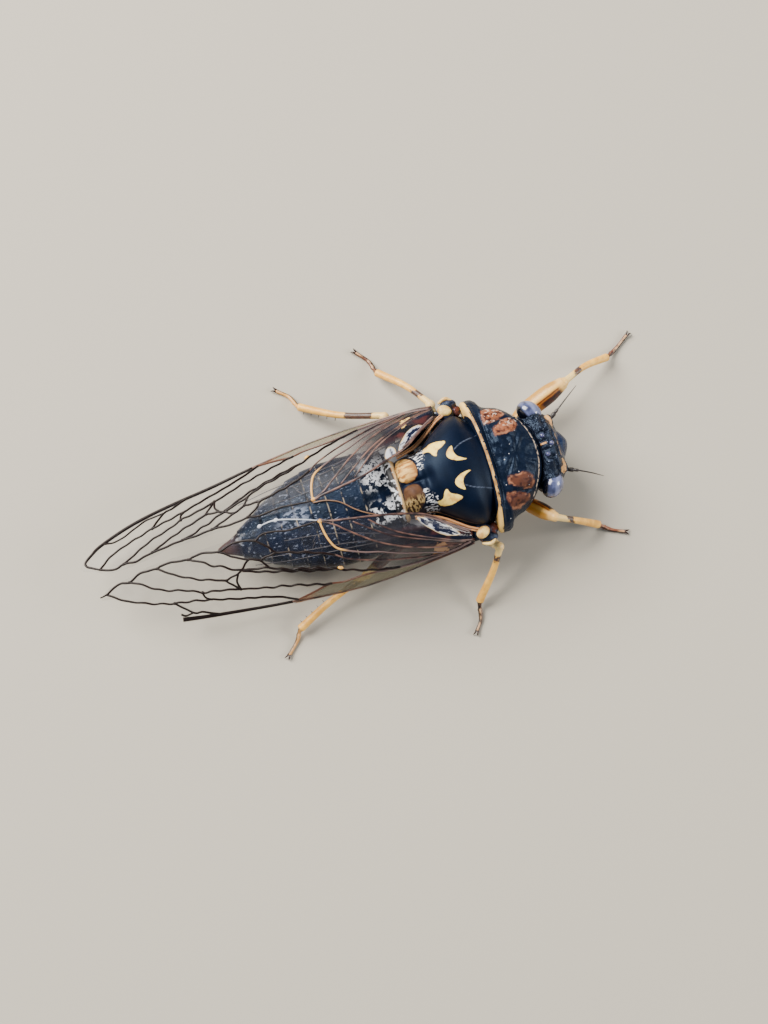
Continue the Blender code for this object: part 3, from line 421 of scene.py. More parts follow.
def ring_lip(x):
    """Each ring swells towards its hind end and the next one starts under it."""
    ends = (-1.75,) + RING_ENDS + (-17.5,)
    for start, end in zip(ends, ends[1:]):
        if x > end:
            into = (start - x) / (start - end)
            return 0.1 * into ** 1.5 - 0.02
    return 0.0


def abdomen_place(turn, share):
    x, half, middle, top, bottom, lean = along(ABDOMEN, share)
    angle = math.tau * turn
    lip = ring_lip(x)
    rise = top - middle if math.sin(angle) > 0 else middle - bottom
    return Vector((x, MIDLINE + lean + (half + lip) * math.cos(angle),
                   middle + (rise + lip) * math.sin(angle)))


belly = Finish("belly_shell", Roughness=0.3, Specular_IOR_Level=0.2, Specular_Tint=BLUE_SHEEN)
seams = belly.x * 0
for end in RING_ENDS[1:]:
    seams = seams.most(abs(belly.x - end - 0.1 + 0.006 * belly.across * belly.across).under(0.05, 0.06))
dashes = seams * belly.noise(1.9, 2).over(0.54, 0.1) * belly.z.over(4.2, 0.6)
dashes = dashes * (belly.x - belly.across.over(0.2, 0.8) * 4).over(-13.5, 4.0)
mottle = belly.noise(1.1, 6).over(0.57, 0.2) * belly.x.under(-6.0, 5.0)
belly_colour = belly.blend(belly.noise(0.7, 3).over(0.5, 0.4), srgb(8, 12, 22), srgb(16, 24, 42))
belly_colour = belly.blend(mottle * 0.4, belly_colour, srgb(40, 48, 70))
scratches_and_highlights = belly.noise(2.6, 6, (1, 2.2, 1)).over(0.62, 0.06) * belly.noise(0.6, 3).over(0.46, 0.14)
scratches_and_highlights = scratches_and_highlights * belly.x.under(-5.0, 3)
# Painted highlight: pale blue-grey patches on top of the middle rings, near the wings' hind border, stand for
# the sky's reflection.
highlight_patch = belly.noise(1.8, 6, (1, 1.6, 1)).over(0.53, 0.06) * abs(belly.x + 10.2).under(1.3, 1.0)
highlight_patch = highlight_patch * abs(belly.across - 0.4).under(0.8, 0.6)
scratches_and_highlights = scratches_and_highlights.most(highlight_patch) * belly.z.over(3.4, 1.8)
# The grey scratches and the painted highlight patches share one pale blue-grey colour.
belly_colour = belly.blend(scratches_and_highlights * 0.6, belly_colour, srgb(148, 156, 178))
belly_colour = belly.blend(dashes * 0.65, belly_colour, srgb(180, 164, 140))
hip_wax = abs(abs(belly.across) - 1.9).under(1.3, 0.9) * belly.x.over(-3.8, 1.0)
hip_wax = hip_wax * belly.across.over(-2.3, 0.6)
thicker = belly.noise(1.6, 7) + belly.across.over(1.2, 1.2) * 0.09
hip_wax = hip_wax * thicker.over(0.51, 0.05) * belly.noise(5.0, 5).over(0.42, 0.1)
side_wax = belly.z.under(4.0, 0.6) * belly.noise(1.3, 6).over(0.62, 0.06) * 0.5
wax = hip_wax.most(side_wax)
belly_colour = belly.blend(wax, belly_colour, WHITE_DUST)
belly_colour = belly.blend(belly.x.under(-15.4, 1.4) * 0.6, belly_colour, srgb(92, 64, 50))
belly_colour = belly.blend(belly.z.under(2.6, 0.8) * 0.4, belly_colour, srgb(110, 76, 52))
belly.coat(belly_colour, 0.3 + 0.45 * wax, belly.noise(8, 5) + seams, 0.05)
add_piece("abdomen_skin", wrap(112, 240, abdomen_place), [belly], "blue_black_shell",
          "abdomen", "abdomen_tip")

# The mesonotum: one domed satin plate, its hind end raised in two round bosses that stand for
# the arms of a cross, with cream marks, dusty grooves and a tan rim where the wings hinge.
def at(curve, x):
    """A smooth curve of (x, value) points that run from high x to low x, read at one x."""
    if x >= curve[0][0]:
        return curve[0][1]
    if x <= curve[-1][0]:
        return curve[-1][1]
    last = len(curve) - 1
    start = max(i for i in range(last) if curve[i][0] >= x)

    def slope(i):
        before, after = curve[max(i - 1, 0)], curve[min(i + 1, last)]
        return (after[1] - before[1]) / (after[0] - before[0])

    (x0, y0), (x1, y1) = curve[start], curve[start + 1]
    span = x1 - x0
    t = (x - x0) / span
    ease = t * t * (3 - 2 * t)
    return y0 * (1 - ease) + y1 * ease + span * t * (1 - t) * ((1 - t) * slope(start) - t * slope(start + 1))


def swelling(x, y, centre, size, height):
    """A smooth rise, the same on both sides of the body."""
    dx = (x - centre[0]) / size[0]
    dy = (abs(y) - centre[1]) / size[1]
    return height * math.exp(-dx * dx - dy * dy)


def outline_distance(piece, outlines):
    """How far each vertex lies inside the nearest of several closed outlines, seen from above.

    An outline is drawn on the left half, as (x, distance from the midline), and counts for both.
    """
    places = vertex_places(piece)
    spots = np.stack([places[:, 0], np.abs(places[:, 1] - MIDLINE)], axis=1)
    best = np.full(len(spots), -9.0)
    for outline in outlines:
        count = len(outline)
        ring = []
        for i in range(count):
            a, b, c, d = (Vector(outline[(i + k) % count]) for k in range(-1, 3))
            ring += [between(a, b, c, d, step / 8) for step in range(8)]
        ring = np.array(ring)
        following = np.roll(ring, -1, axis=0)
        gap = np.full(len(spots), 9.0)
        crossings = np.zeros(len(spots), int)
        for a, b in zip(ring, following):
            line = b - a
            share = np.clip(((spots - a) @ line) / max(line @ line, 1e-9), 0, 1)
            gap = np.minimum(gap, np.linalg.norm(spots - a - share[:, None] * line, axis=1))
            level = (a[1] > spots[:, 1]) != (b[1] > spots[:, 1])
            if a[1] != b[1]:
                crossings += level & (spots[:, 0] < a[0] + (spots[:, 1] - a[1]) / (b[1] - a[1]) * line[0])
        best = np.maximum(best, np.where(crossings % 2 == 1, gap, -gap))
    return best


MESONOTUM = (
    # x, half width, top, bow
    (6.5, 3.6, 7.6, 0.014), (6.2, 3.7, 8.0, 0.014), (5.8, 4.1, 8.25, 0.014), (5.3, 4.6, 8.6, 0.008),
    (4.75, 4.75, 8.9, 0.0), (4.1, 4.6, 9.08, 0.0), (3.4, 4.2, 9.18, 0.0), (2.7, 3.75, 9.13, 0.0),
    (2.1, 3.3, 9.0, 0.0), (1.6, 2.95, 8.8, 0.0), (1.1, 2.7, 8.55, 0.0), (0.6, 2.6, 8.4, 0.0),
    (0.1, 2.6, 8.3, 0.0), (-0.4, 2.55, 8.2, 0.0), (-0.8, 2.45, 7.95, 0.0), (-1.05, 2.2, 7.5, 0.0),
    (-1.1, 2.0, 6.6, 0.0))
INNER_MARK = ((3.8, 1.85), (3.45, 1.68), (3.17, 1.3), (3.25, 0.92), (3.7, 0.62), (4.25, 0.48),
              (4.7, 0.48), (4.15, 0.75), (3.85, 1.08), (3.78, 1.45))
OUTER_MARK = ((3.4, 2.4), (2.75, 2.6), (2.1, 2.6), (1.6, 2.38), (1.42, 2.07), (1.75, 2.05), (1.98, 1.9),
              (2.12, 1.6), (2.38, 1.42), (2.57, 1.8), (3.05, 2.05))
BOSS_MARK = ((0.62, 1.1), (0.42, 1.75), (-0.1, 2.2), (-0.7, 2.2), (-1.05, 1.6), (-1.0, 0.6),
             (-0.65, 0.16), (0.0, 0.12), (0.45, 0.45))
DUST_MARK = ((0.4, 2.3), (0.8, 2.75), (1.35, 2.6), (1.5, 2.1), (1.3, 1.4), (0.75, 0.75), (0.6, 1.3),
             (0.5, 1.8))
SCRATCH = ((3.9, 1.5), (4.6, 1.86), (5.9, 2.2), (5.9, 2.23), (4.6, 1.9), (3.9, 1.53))
DISC_RIM = ((5.7, 4.15), (5.2, 4.6), (4.7, 4.72), (4.1, 4.55), (3.4, 4.15), (2.7, 3.7), (2.1, 3.25),
            (1.6, 2.9), (1.1, 2.6), (0.5, 2.5), (-0.9, 2.4), (-1.3, 0), (0, -1), (3, -2), (8.6, -1),
            (8.8, 4.5))


def notum_place(turn, share):
    x, half, top, bow = along(MESONOTUM, share)
    angle = math.tau * turn
    floor_level = DECK + 0.25
    y = half * rounded(math.cos(angle), 0.85)
    if math.sin(angle) <= 0:
        return Vector((x - bow * y * y, MIDLINE + y, floor_level))
    arch = math.sin(angle) ** 0.85
    x -= bow * y * y
    rise = swelling(x, y, (-0.2, 1.22), (0.75, 0.9), 0.5) - swelling(x, y, (-0.1, 0.0), (0.9, 0.2), 0.35)
    rise += swelling(x, y, (1.2, 1.95), (0.5, 0.3), 0.2) - swelling(x, y, (1.3, 0.0), (0.4, 0.8), 0.25)
    rise -= swelling(x, y, (0.62, 0.9), (0.2, 1.0), 0.12)
    return Vector((x, MIDLINE + y, floor_level + (top - floor_level) * arch + rise * min(1, 2.5 * arch)))


satin = Finish("satin_plate", Roughness=0.46, Specular_IOR_Level=0.16, Specular_Tint=BLUE_SHEEN)
satin_colour = satin.blend(satin.noise(1.2, 4), srgb(8, 13, 24), srgb(15, 24, 42))
cream = satin.blend(satin.noise(2.5, 5).over(0.55, 0.3), srgb(253, 218, 116), srgb(216, 164, 80))
wobble = (satin.noise(3.0, 4) - 0.5) * 0.16
inner_share = (satin.drawn("inner_mark") + wobble * 0.5).over(0.0, 0.06)
outer_share = (satin.drawn("outer_mark") + wobble).over(0.0, 0.07)
boss_share = (satin.drawn("boss_mark") + wobble).over(0.02, 0.14)
satin_colour = satin.blend(inner_share.most(outer_share), satin_colour, cream)
streaks = satin.noise(1.6, 5, (0.7, 2.6, 1))
left_boss = satin.blend(streaks.over(0.5, 0.2), srgb(220, 176, 104), srgb(156, 104, 54))
left_boss = satin.blend((satin.x - satin.across * 0.5).over(-0.35, 0.9) * 0.6, left_boss, srgb(178, 122, 74))
stripes = satin.noise(2.2, 4, (3.0, 0.8, 1))
right_boss = satin.blend(stripes.over(0.5, 0.08), srgb(176, 148, 100), srgb(62, 44, 30))
brown = satin.blend(satin.noise(2.4, 5), srgb(52, 35, 26), srgb(98, 70, 48))
right_boss = satin.blend(satin.across.over(-1.25, 0.6), right_boss, brown)
bosses = satin.blend(satin.across.under(0.0, 0.1), left_boss, right_boss)
satin_colour = satin.blend(boss_share, satin_colour, bosses)
down = (satin.drawn("dust_mark") + (satin.noise(2.0, 3) - 0.5) * 0.9).over(0.0, 0.2)
dust_share = down * satin.noise(3.2, 7, (1.0, 2.4, 1)).over(0.54, 0.08)
satin_colour = satin.blend(dust_share * 0.85, satin_colour, WHITE_DUST)
rim_share = (satin.drawn("rim") + wobble * 0.4).under(0.035, 0.05) * satin.z.over(6.4, 0.5)
rim_share = rim_share * satin.x.under(4.9, 0.8)
scratch = satin.drawn("scratch").over(-0.03, 0.06) * satin.noise(1.8, 4).over(0.42, 0.2)
satin_colour = satin.blend(scratch * 0.28, satin_colour, srgb(128, 140, 164))
satin_colour = satin.blend(rim_share, satin_colour, srgb(214, 164, 118))
satin_relief = satin.noise(14, 4) * 0.35 + inner_share.most(outer_share) * 0.3
satin_relief = satin_relief + dust_share * 0.4 + boss_share * streaks
satin.coat(satin_colour, 0.46 + 0.14 * dust_share.most(boss_share), satin_relief, 0.03)
notum = add_piece("mesonotum_plate", wrap(260, 260, notum_place), [satin], "satin_black", "mesonotum")
for name, outline in (("inner_mark", INNER_MARK), ("outer_mark", OUTER_MARK), ("boss_mark", BOSS_MARK),
                      ("dust_mark", DUST_MARK), ("scratch", SCRATCH), ("rim", DISC_RIM)):
    draw(notum, name, outline_distance(notum, [outline]))

# The metanotum: a narrow ridge of tan shell across the body behind the bosses, dusted white,
# with dark ends under the wings. It sits between the mesonotum and the first abdomen ring.
METANOTUM = ((-0.85, 2.4, 6.6), (-1.0, 2.6, 7.25), (-1.2, 2.72, 7.48), (-1.6, 2.8, 7.45),
             (-1.85, 2.75, 7.2), (-2.0, 2.6, 6.6))


def ridge_place(turn, share):
    x, half, top = along(METANOTUM, share)
    angle = math.tau * turn
    y = half * rounded(math.cos(angle), 0.85)
    lift = max(0.0, math.sin(angle)) ** 0.85
    groove = 0.1 * math.exp(-(y / 0.5) ** 2)
    return Vector((x, MIDLINE + y, DECK + 0.25 + (top - DECK - 0.25 - groove) * lift))


ridge = Finish("ridge_band", Roughness=0.45, IOR=1.5)
edges = ridge.noise(1.6, 5) * 0.12
strip = (ridge.x + edges).over(-1.3, 0.06) * abs(ridge.across).under(2.65, 0.2)
ridge_colour = ridge.blend((ridge.x + edges).over(-1.24, 0.1), srgb(128, 84, 52), srgb(222, 186, 132))
ridge_colour = ridge.blend(strip, srgb(16, 18, 24), ridge_colour)
flecks = ridge.noise(2.4, 6).over(0.56, 0.06) * (ridge.x + edges).under(-1.22, 0.1)
ridge_colour = ridge.blend(flecks * 0.9, ridge_colour, WHITE_DUST)
ridge.coat(ridge_colour, 0.45, ridge.noise(10, 4) + strip, 0.04)
add_piece("metanotum_ridge", wrap(120, 60, ridge_place), [ridge], "tan_band", "metanotum")

# The wing bases: a yellow oval scale over each forewing's hinge, a black knuckle with a tan cap
# in front of it, and a cord of tan skin that ties the wing to the edge of the mesonotum.
CORD_LINE = ((4.2, 4.95, 6.0), (3.4, 4.55, 6.2), (2.7, 4.05, 6.35), (2.1, 3.6, 6.45), (1.5, 3.2, 6.5),
             (0.9, 2.9, 6.55), (0.2, 2.7, 6.6), (-0.6, 2.5, 6.6))
for name, side in SIDES.items():
    scale_paint = Finish(f"wing_scale_{name}", Roughness=0.4)
    hollow = scale_paint.noise(1.5, 4).over(0.5, 0.3)
    scale_colour = scale_paint.blend(hollow, srgb(238, 204, 124), srgb(184, 138, 76))
    scale_paint.coat(scale_colour, 0.4, scale_paint.noise(7, 4), 0.04)
    outer_scale = [mirrored(point, side) for point in
                   ((4.1, 6.1, 5.5), (4.75, 6.3, 5.65), (5.25, 6.05, 5.6))]
    scales = [ball(mirrored((4.38, 5.28, 6.0), side), (0.6, 0.46, 0.3), -0.5 * side),
              rod(outer_scale, [0.1, 0.16, 0.07], 16, 24)]
    add_piece(f"wing_scales_{name}", gather(scales), [scale_paint], "tan_band")
    knuckle = Finish(f"knuckle_{name}", Roughness=0.35, Specular_IOR_Level=0.35, Specular_Tint=BLUE_SHEEN)
    knuckle_colour = knuckle.blend(knuckle.noise(2.2, 4).over(0.5, 0.3), srgb(16, 20, 32), srgb(52, 56, 74))
    near_collar = knuckle.x.over(5.15, 0.3) * abs(knuckle.across).under(5.6, 0.3)
    ruddy = near_collar * knuckle.noise(2.2, 3).over(0.42, 0.2)
    knuckle_colour = knuckle.blend(ruddy, knuckle_colour, srgb(84, 44, 28))
    knuckle.coat(knuckle_colour, 0.35, knuckle.noise(6, 5), 0.06)
    knobs = [ball(mirrored((4.85, 5.75, 5.35), side), (0.72, 0.5, 0.5)),
             ball(mirrored((5.35, 5.1, 5.4), side), (0.42, 0.5, 0.26)),
             ball(mirrored((4.4, 5.1, 5.6), side), (0.75, 0.62, 0.5), -0.5 * side)]
    add_piece(f"knuckles_{name}", gather(knobs), [knuckle], "blue_black_shell", grain=0.05)
    cord_paint = Finish(f"wing_cord_{name}", Roughness=0.5)
    cord_paint.coat(cord_paint.blend(cord_paint.noise(1.4, 3), srgb(206, 150, 100), srgb(134, 88, 60)), 0.5)
    cords = []
    for gap, lift, radius in ((0.0, 0.0, 0.1), (0.2, -0.1, 0.07)):
        path = [mirrored((x, y + gap, z + lift), side) for x, y, z in CORD_LINE]
        cords.append(rod(path, [radius, radius, radius * 0.8], 12, 80))
    add_piece(f"wing_cords_{name}", gather(cords), [cord_paint], "tan_band")

# The pronotum: a hard saddle of black shell with rough rust-red pads on each side, wrinkled
# black in the middle, and a smooth tan collar along its hind edge that widens at both ears.
PRONOTUM = (
    # x, half width, widest level, top, bottom
    (6.1, 5.2, 5.0, 7.3, 2.2), (6.2, 5.5, 5.0, 7.9, 1.95), (6.37, 5.68, 5.0, 8.08, 1.8),
    (6.62, 5.7, 5.0, 8.08, 1.72), (6.83, 5.72, 5.0, 7.84, 1.7), (7.15, 5.68, 4.9, 7.9, 1.6),
    (7.45, 5.4, 4.9, 7.95, 1.6), (7.8, 5.02, 4.9, 8.0, 1.6), (8.3, 4.82, 4.8, 7.95, 1.6),
    (8.8, 4.7, 4.8, 7.85, 1.6), (9.3, 4.6, 4.8, 7.7, 1.6), (9.8, 4.5, 4.8, 7.5, 1.7),
    (10.2, 4.3, 4.8, 7.3, 1.8), (10.5, 4.05, 4.75, 7.1, 2.0), (10.7, 3.75, 4.7, 6.85, 2.3),
    (10.85, 3.4, 4.7, 6.4, 2.6))
COLLAR_BOW = 0.014
HEAD_BOW = 0.095
RUST_OUTER = ((7.05, 2.9), (7.6, 2.95), (8.25, 3.12), (8.9, 3.42), (8.75, 3.9), (8.1, 4.25), (7.35, 4.35),
              (6.98, 3.95), (6.92, 3.4))
RUST_INNER = ((7.4, 2.3), (7.85, 2.62), (8.5, 2.93), (9.1, 3.08), (9.55, 2.7), (9.58, 2.15), (9.2, 1.75),
              (8.65, 1.66), (8.0, 1.72), (7.5, 1.66), (7.42, 1.95))


def saddle_place(turn, share):
    x, half, middle, top, bottom = along(PRONOTUM, share)
    angle = math.tau * turn
    upper = math.sin(angle) > 0
    power = 0.9 if upper else 1.2
    y = half * rounded(math.cos(angle), power)
    rise = top - middle if upper else middle - bottom
    z = middle + rise * rounded(math.sin(angle), power)
    x -= (COLLAR_BOW + (HEAD_BOW - COLLAR_BOW) * max(0.0, (x - 7.4) / 3.3)) * y * y
    if upper:
        ease = min(1.0, 4 * math.sin(angle))
        z += ease * (swelling(x, y, (7.9, 3.75), (0.75, 0.5), 0.2)
                     + swelling(x, y, (8.7, 2.3), (0.75, 0.5), 0.2)
                     - swelling(x, y, (8.4, 3.1), (1.0, 0.16), 0.2)
                     - swelling(x, y, (9.0, 0.0), (0.9, 0.5), 0.18)
                     - swelling(x, y, (6.85, 1.5), (0.13, 4.0), 0.1))
        reach, heading = math.hypot(x - 8.7, y), math.atan2(y, x - 8.7)
        folds = math.sin(9 * heading + 3 * noise.noise(Vector((x, y, 0))))
        folds *= math.exp(-((reach - 1.3) / 0.8) ** 2)
        lump = noise.fractal(Vector((x, y, 0)) * 1.2, 1.0, 2.0, 4)
        z += ease * (0.08 * lump + 0.08 * folds) * min(1.0, max(0.0, (x - 6.7) * 2))
    return Vector((x, MIDLINE + y, z))


saddle = Finish("saddle_shell", Roughness=0.4, Specular_IOR_Level=0.16, Specular_Tint=BLUE_SHEEN)
wrinkle = saddle.noise(2.0, 6)
saddle_colour = saddle.blend(saddle.noise(1.5, 4), srgb(11, 16, 26), srgb(26, 34, 50))
pad = saddle.drawn("rust") + (saddle.noise(2.2, 4) - 0.5) * 0.5
rust_share = pad.over(0.04, 0.2)
rust_tone = saddle.blend(saddle.noise(2.4, 5).over(0.54, 0.16), srgb(132, 80, 54), srgb(58, 30, 26))
rust_tone = saddle.blend(saddle.across.under(0.0, 0.5) * 0.7, rust_tone, srgb(56, 36, 32))
flecks = saddle.across.over(2.4, 0.8) * saddle.noise(3.2, 6).over(0.57, 0.06) * 0.8
rust_tone = saddle.blend(flecks, rust_tone, srgb(206, 176, 158))
pad_edge = pad.under(0.2, 0.2) * saddle.noise(1.7, 3).over(0.5, 0.15) * 0.7
rust_tone = saddle.blend(pad_edge, rust_tone, srgb(158, 108, 80))
saddle_colour = saddle.blend(rust_share, saddle_colour, rust_tone)
specks = saddle.cells(2.3).under(0.12, 0.06) * saddle.noise(0.9, 3).over(0.55, 0.06) * saddle.x.over(6.6, 0.1)
saddle_colour = saddle.blend(specks * saddle.z.over(6.0, 0.6) * 0.8, saddle_colour, srgb(205, 205, 210))
bowed = saddle.x + COLLAR_BOW * saddle.across * saddle.across
spread = abs(saddle.across).over(4.3, 1.6)
collar = bowed.under(6.53, 0.05) * (bowed + spread * 0.4).over(6.3, 0.04) * saddle.z.over(4.6, 0.5)
collar = collar * (1 - (bowed.over(6.44, 0.05) * saddle.noise(2.2, 3).over(0.57, 0.1)))
collar_tone = saddle.blend(saddle.noise(1.6, 4).over(0.5, 0.3), srgb(196, 156, 96), srgb(140, 104, 64))
collar_tone = saddle.blend(spread, collar_tone, srgb(236, 192, 112))
saddle_colour = saddle.blend(collar, saddle_colour, collar_tone)
front_line = abs(saddle.x + HEAD_BOW * saddle.across * saddle.across - 10.52).under(0.05, 0.05)
front_line = front_line * saddle.noise(4.0, 2).over(0.48, 0.08) * saddle.z.over(5.6, 0.5)
saddle_colour = saddle.blend(front_line * 0.8, saddle_colour, srgb(196, 176, 156))
lower_side = saddle.z.under(3.6, 1.0) * saddle.noise(1.1, 4).over(0.45, 0.2)
saddle_colour = saddle.blend(lower_side * 0.6, saddle_colour, srgb(150, 98, 52))
saddle_relief = wrinkle * (1 - collar) * 2 + specks
saddle.coat(saddle_colour, 0.34 + 0.26 * rust_share + 0.15 * collar, saddle_relief, 0.06)
pronotum = add_piece("pronotum_saddle", wrap(240, 220, saddle_place), [saddle], "pronotum_rust", "pronotum")
draw(pronotum, "rust", outline_distance(pronotum, [RUST_OUTER, RUST_INNER]))

# The head: short and wide, with a knobbly black crown, a swollen face plate that juts out to a
# blunt keel, tan brows, three glassy simple eyes and a black rim behind each compound eye.
HEAD = (
    # x, half width, widest level, top, bottom, bow
    (10.6, 2.6, 4.7, 5.9, 2.7, 0.095), (10.85, 3.0, 4.7, 6.35, 2.3, 0.095),
    (11.06, 3.2, 4.7, 6.62, 2.15, 0.095), (11.35, 3.4, 4.7, 6.78, 1.9, 0.09),
    (11.7, 3.4, 4.6, 6.82, 1.8, 0.07), (12.05, 3.2, 4.6, 6.76, 1.8, 0.05),
    (12.4, 2.85, 4.5, 6.5, 1.9, 0.03), (12.65, 2.4, 4.3, 6.0, 2.1, 0.01),
    (12.85, 1.6, 4.0, 5.2, 2.4, 0.0), (12.95, 0.6, 3.9, 4.6, 3.0, 0.0))
FACE_CENTRE = Vector((12.5, MIDLINE, 3.95))
FACE_RADII = Vector((1.0, 1.6, 2.1))
BROW = ((12.15, 2.5), (12.47, 2.42), (12.6, 1.95), (12.54, 1.55), (12.42, 1.4), (12.34, 1.6),
        (12.33, 1.9), (12.1, 2.2))
OCELLI = ((11.33, 0.7, 6.84), (11.33, -0.9, 6.84), (11.9, MIDLINE, 6.8))


def head_place(turn, share):
    x, half, middle, top, bottom, bow = along(HEAD, share)
    angle = math.tau * turn
    y = half * rounded(math.cos(angle), 0.85)
    z = middle + (top - middle if math.sin(angle) > 0 else middle - bottom) * rounded(math.sin(angle), 0.8)
    x -= bow * y * y
    if math.sin(angle) > 0:
        ease = min(1.0, 3 * math.sin(angle))
        bumps = (swelling(x, y, (11.45, 1.5), (0.28, 0.3), 0.2)
                 + swelling(x, y, (12.05, 1.55), (0.22, 0.6), 0.2))
        bumps += (swelling(x, y, (11.4, 0.0), (0.3, 0.32), 0.12)
                  - swelling(x, y, (11.6, 1.1), (0.5, 0.12), 0.2))
        bumps -= (swelling(x, y, (12.22, 0.6), (0.09, 0.7), 0.22)
                  + swelling(x, y, (11.75, 1.9), (0.12, 0.8), 0.16))
        bumps -= swelling(x, y, (11.25, 0.4), (0.6, 0.09), 0.14)
        z += ease * (bumps + 0.05 * noise.fractal(Vector((x, y, 0)) * 2.2, 1.0, 2.0, 4))
    return Vector((x, MIDLINE + y, z))


def face_place(turn, share):
    """The face plate comes to a keel in front, with ribs down both sides of it."""
    angle = math.pi * (share - 0.5)
    front, aside = math.cos(math.tau * turn), math.sin(math.tau * turn)
    rib = 1 + 0.03 * math.cos(math.tau * 9 * share) * max(0.0, front) * min(1.0, 4 * abs(aside))
    wide = rounded(math.cos(angle), 0.75) * rib
    ahead = rounded(front, 1.6) if front > 0 else front
    return FACE_CENTRE + Vector((FACE_RADII.x * wide * ahead, FACE_RADII.y * wide * rounded(aside, 1.5),
                                 FACE_RADII.z * rounded(math.sin(angle), 0.9)))


head_parts = [wrap(160, 90, head_place), wrap(96, 140, face_place)]
for side in SIDES.values():
    head_parts.append(ball(mirrored((12.3, 1.8, 5.75), side), (0.4, 0.75, 0.28), -0.25 * side))
    head_parts.append(ball(mirrored((11.2, 2.72, 5.4), side), (0.9, 0.75, 1.12), 0.6 * side))
crown = Finish("crown_shell", Roughness=0.26, Specular_IOR_Level=0.35, Specular_Tint=BLUE_SHEEN)
crown_colour = crown.blend(crown.noise(1.8, 4), srgb(11, 14, 21), srgb(34, 38, 52))
face_light = crown.x.over(12.45, 0.3) * crown.z.over(4.6, 0.6) * abs(crown.across).under(1.2, 0.3)
crown_colour = crown.blend(face_light * 0.6, crown_colour, srgb(22, 36, 68))
brow = (crown.drawn("brow") + (crown.noise(3.0, 4) - 0.5) * 0.25).over(0.0, 0.05) * crown.z.over(5.3, 0.3)
brow_tone = crown.blend(crown.noise(2.0), srgb(216, 168, 108), srgb(168, 116, 70))
crown_colour = crown.blend(brow, crown_colour, brow_tone)
midline_streak = abs(crown.across - 0.15).under(0.07, 0.06) * abs(crown.x - 11.25).under(0.24, 0.1)
midline_streak = midline_streak * crown.z.over(6, 0.3)
crown_colour = crown.blend(midline_streak, crown_colour, srgb(186, 134, 76))
dots = abs(crown.x - 12.42).under(0.05, 0.05) * crown.noise(4, 2).over(0.5, 0.1) * crown.z.over(5.2, 0.3)
crown_colour = crown.blend(dots * 0.4, crown_colour, srgb(190, 150, 104))
glints = crown.cells(3.4).under(0.1, 0.06) * crown.noise(1.2, 2).over(0.52, 0.08) * crown.z.over(5.0, 0.5)
crown_colour = crown.blend(glints, crown_colour, srgb(170, 176, 196))
crown.coat(crown_colour, 0.24 + 0.2 * brow, crown.noise(3.4, 6) * 2 + crown.noise(9, 4) * 0.5, 0.09)
head = add_piece("head_skin", gather(head_parts), [crown], "blue_black_shell", "head", grain=0.045)
draw(head, "brow", outline_distance(head, [BROW]))

ocellus = Finish("ocellus_glass", Roughness=0.08, Coat_Weight=0.5)
ocellus.coat(ocellus.blend(ocellus.noise(3), srgb(40, 42, 66), srgb(84, 86, 124)), 0.08)
add_piece("ocelli", gather([ball(place, (0.2, 0.2, 0.17), 0, 20, 12) for place in OCELLI]), [ocellus],
          "blue_black_shell")

# The compound eyes: smooth slate-blue domes, longer than wide and set askew at the sides of the
# head, blacker behind, with a pale band of painted highlight and a sheen that follows the light.
EYE_CENTRE = (11.08, 3.18, 5.55)
EYE_RADII = (1.12, 0.88, 1.04)
for name, side in SIDES.items():
    facets = Finish(f"facets_{name}", Roughness=0.16, Coat_Weight=0.5, Coat_Roughness=0.04)
    forward = (facets.x - EYE_CENTRE[0]) * 0.93 + (facets.across * side - EYE_CENTRE[1]) * 0.36
    eye_colour = facets.blend(facets.noise(1.3, 4).over(0.52, 0.3), srgb(50, 54, 80), srgb(90, 97, 134))
    # Painted highlight: a pale lavender band across the front of each eye.
    eye_colour = facets.blend(abs(forward - 0.35).under(0.16, 0.2) * 0.5, eye_colour, srgb(134, 140, 178))
    dome = (forward + facets.noise(1.6, 2) * 0.2).over(-0.32, 0.22)
    eye_colour = facets.blend(dome, srgb(13, 15, 22), eye_colour)
    facets.coat(eye_colour, 0.14, facets.cells(9), 0.005)
    eyeball = ball(mirrored(EYE_CENTRE, side), EYE_RADII, math.radians(-50) * side, 96, 64)
    add_piece(f"eyeball_{name}", eyeball, [facets], "eye_slate", f"eye_{name}")

# The feelers: two thick joints of black shell set in the front corners of the head, below the
# eyes, and then a stiff bristle as thin as a hair that tapers away.
FEELERS = {"left": ((12.95, 2.3, 5.1), (13.6, 2.75, 5.25), (14.6, 3.45, 5.35), (15.6, 4.15, 5.2)),
           "right": ((12.95, -2.45, 5.1), (13.6, -2.75, 5.25), (14.5, -3.25, 5.35), (15.4, -3.77, 5.2))}
feeler = Finish("feeler_shell", Roughness=0.35, IOR=1.5)
feeler.coat(feeler.blend(feeler.noise(4), srgb(20, 20, 24), srgb(52, 44, 42)), 0.35, feeler.noise(12), 0.02)
for name, points in FEELERS.items():
    root = Vector(points[0])
    ahead = (Vector(points[1]) - root).normalized()
    joints = [rod([root - ahead * 0.25, root, root + ahead * 0.22, root + ahead * 0.34],
                  [0.14, 0.19, 0.18, 0.08], 24, 16),
              rod([root + ahead * 0.25, root + ahead * 0.4, root + ahead * 0.62, root + ahead * 0.7],
                  [0.1, 0.13, 0.12, 0.06], 20, 14),
              rod([root + ahead * 0.6, *points[1:]], [0.08, 0.07, 0.05, 0.022], 12, 60)]
    add_piece(f"feeler_{name}", gather(joints), [feeler], "blue_black_shell", f"antenna_{name}")

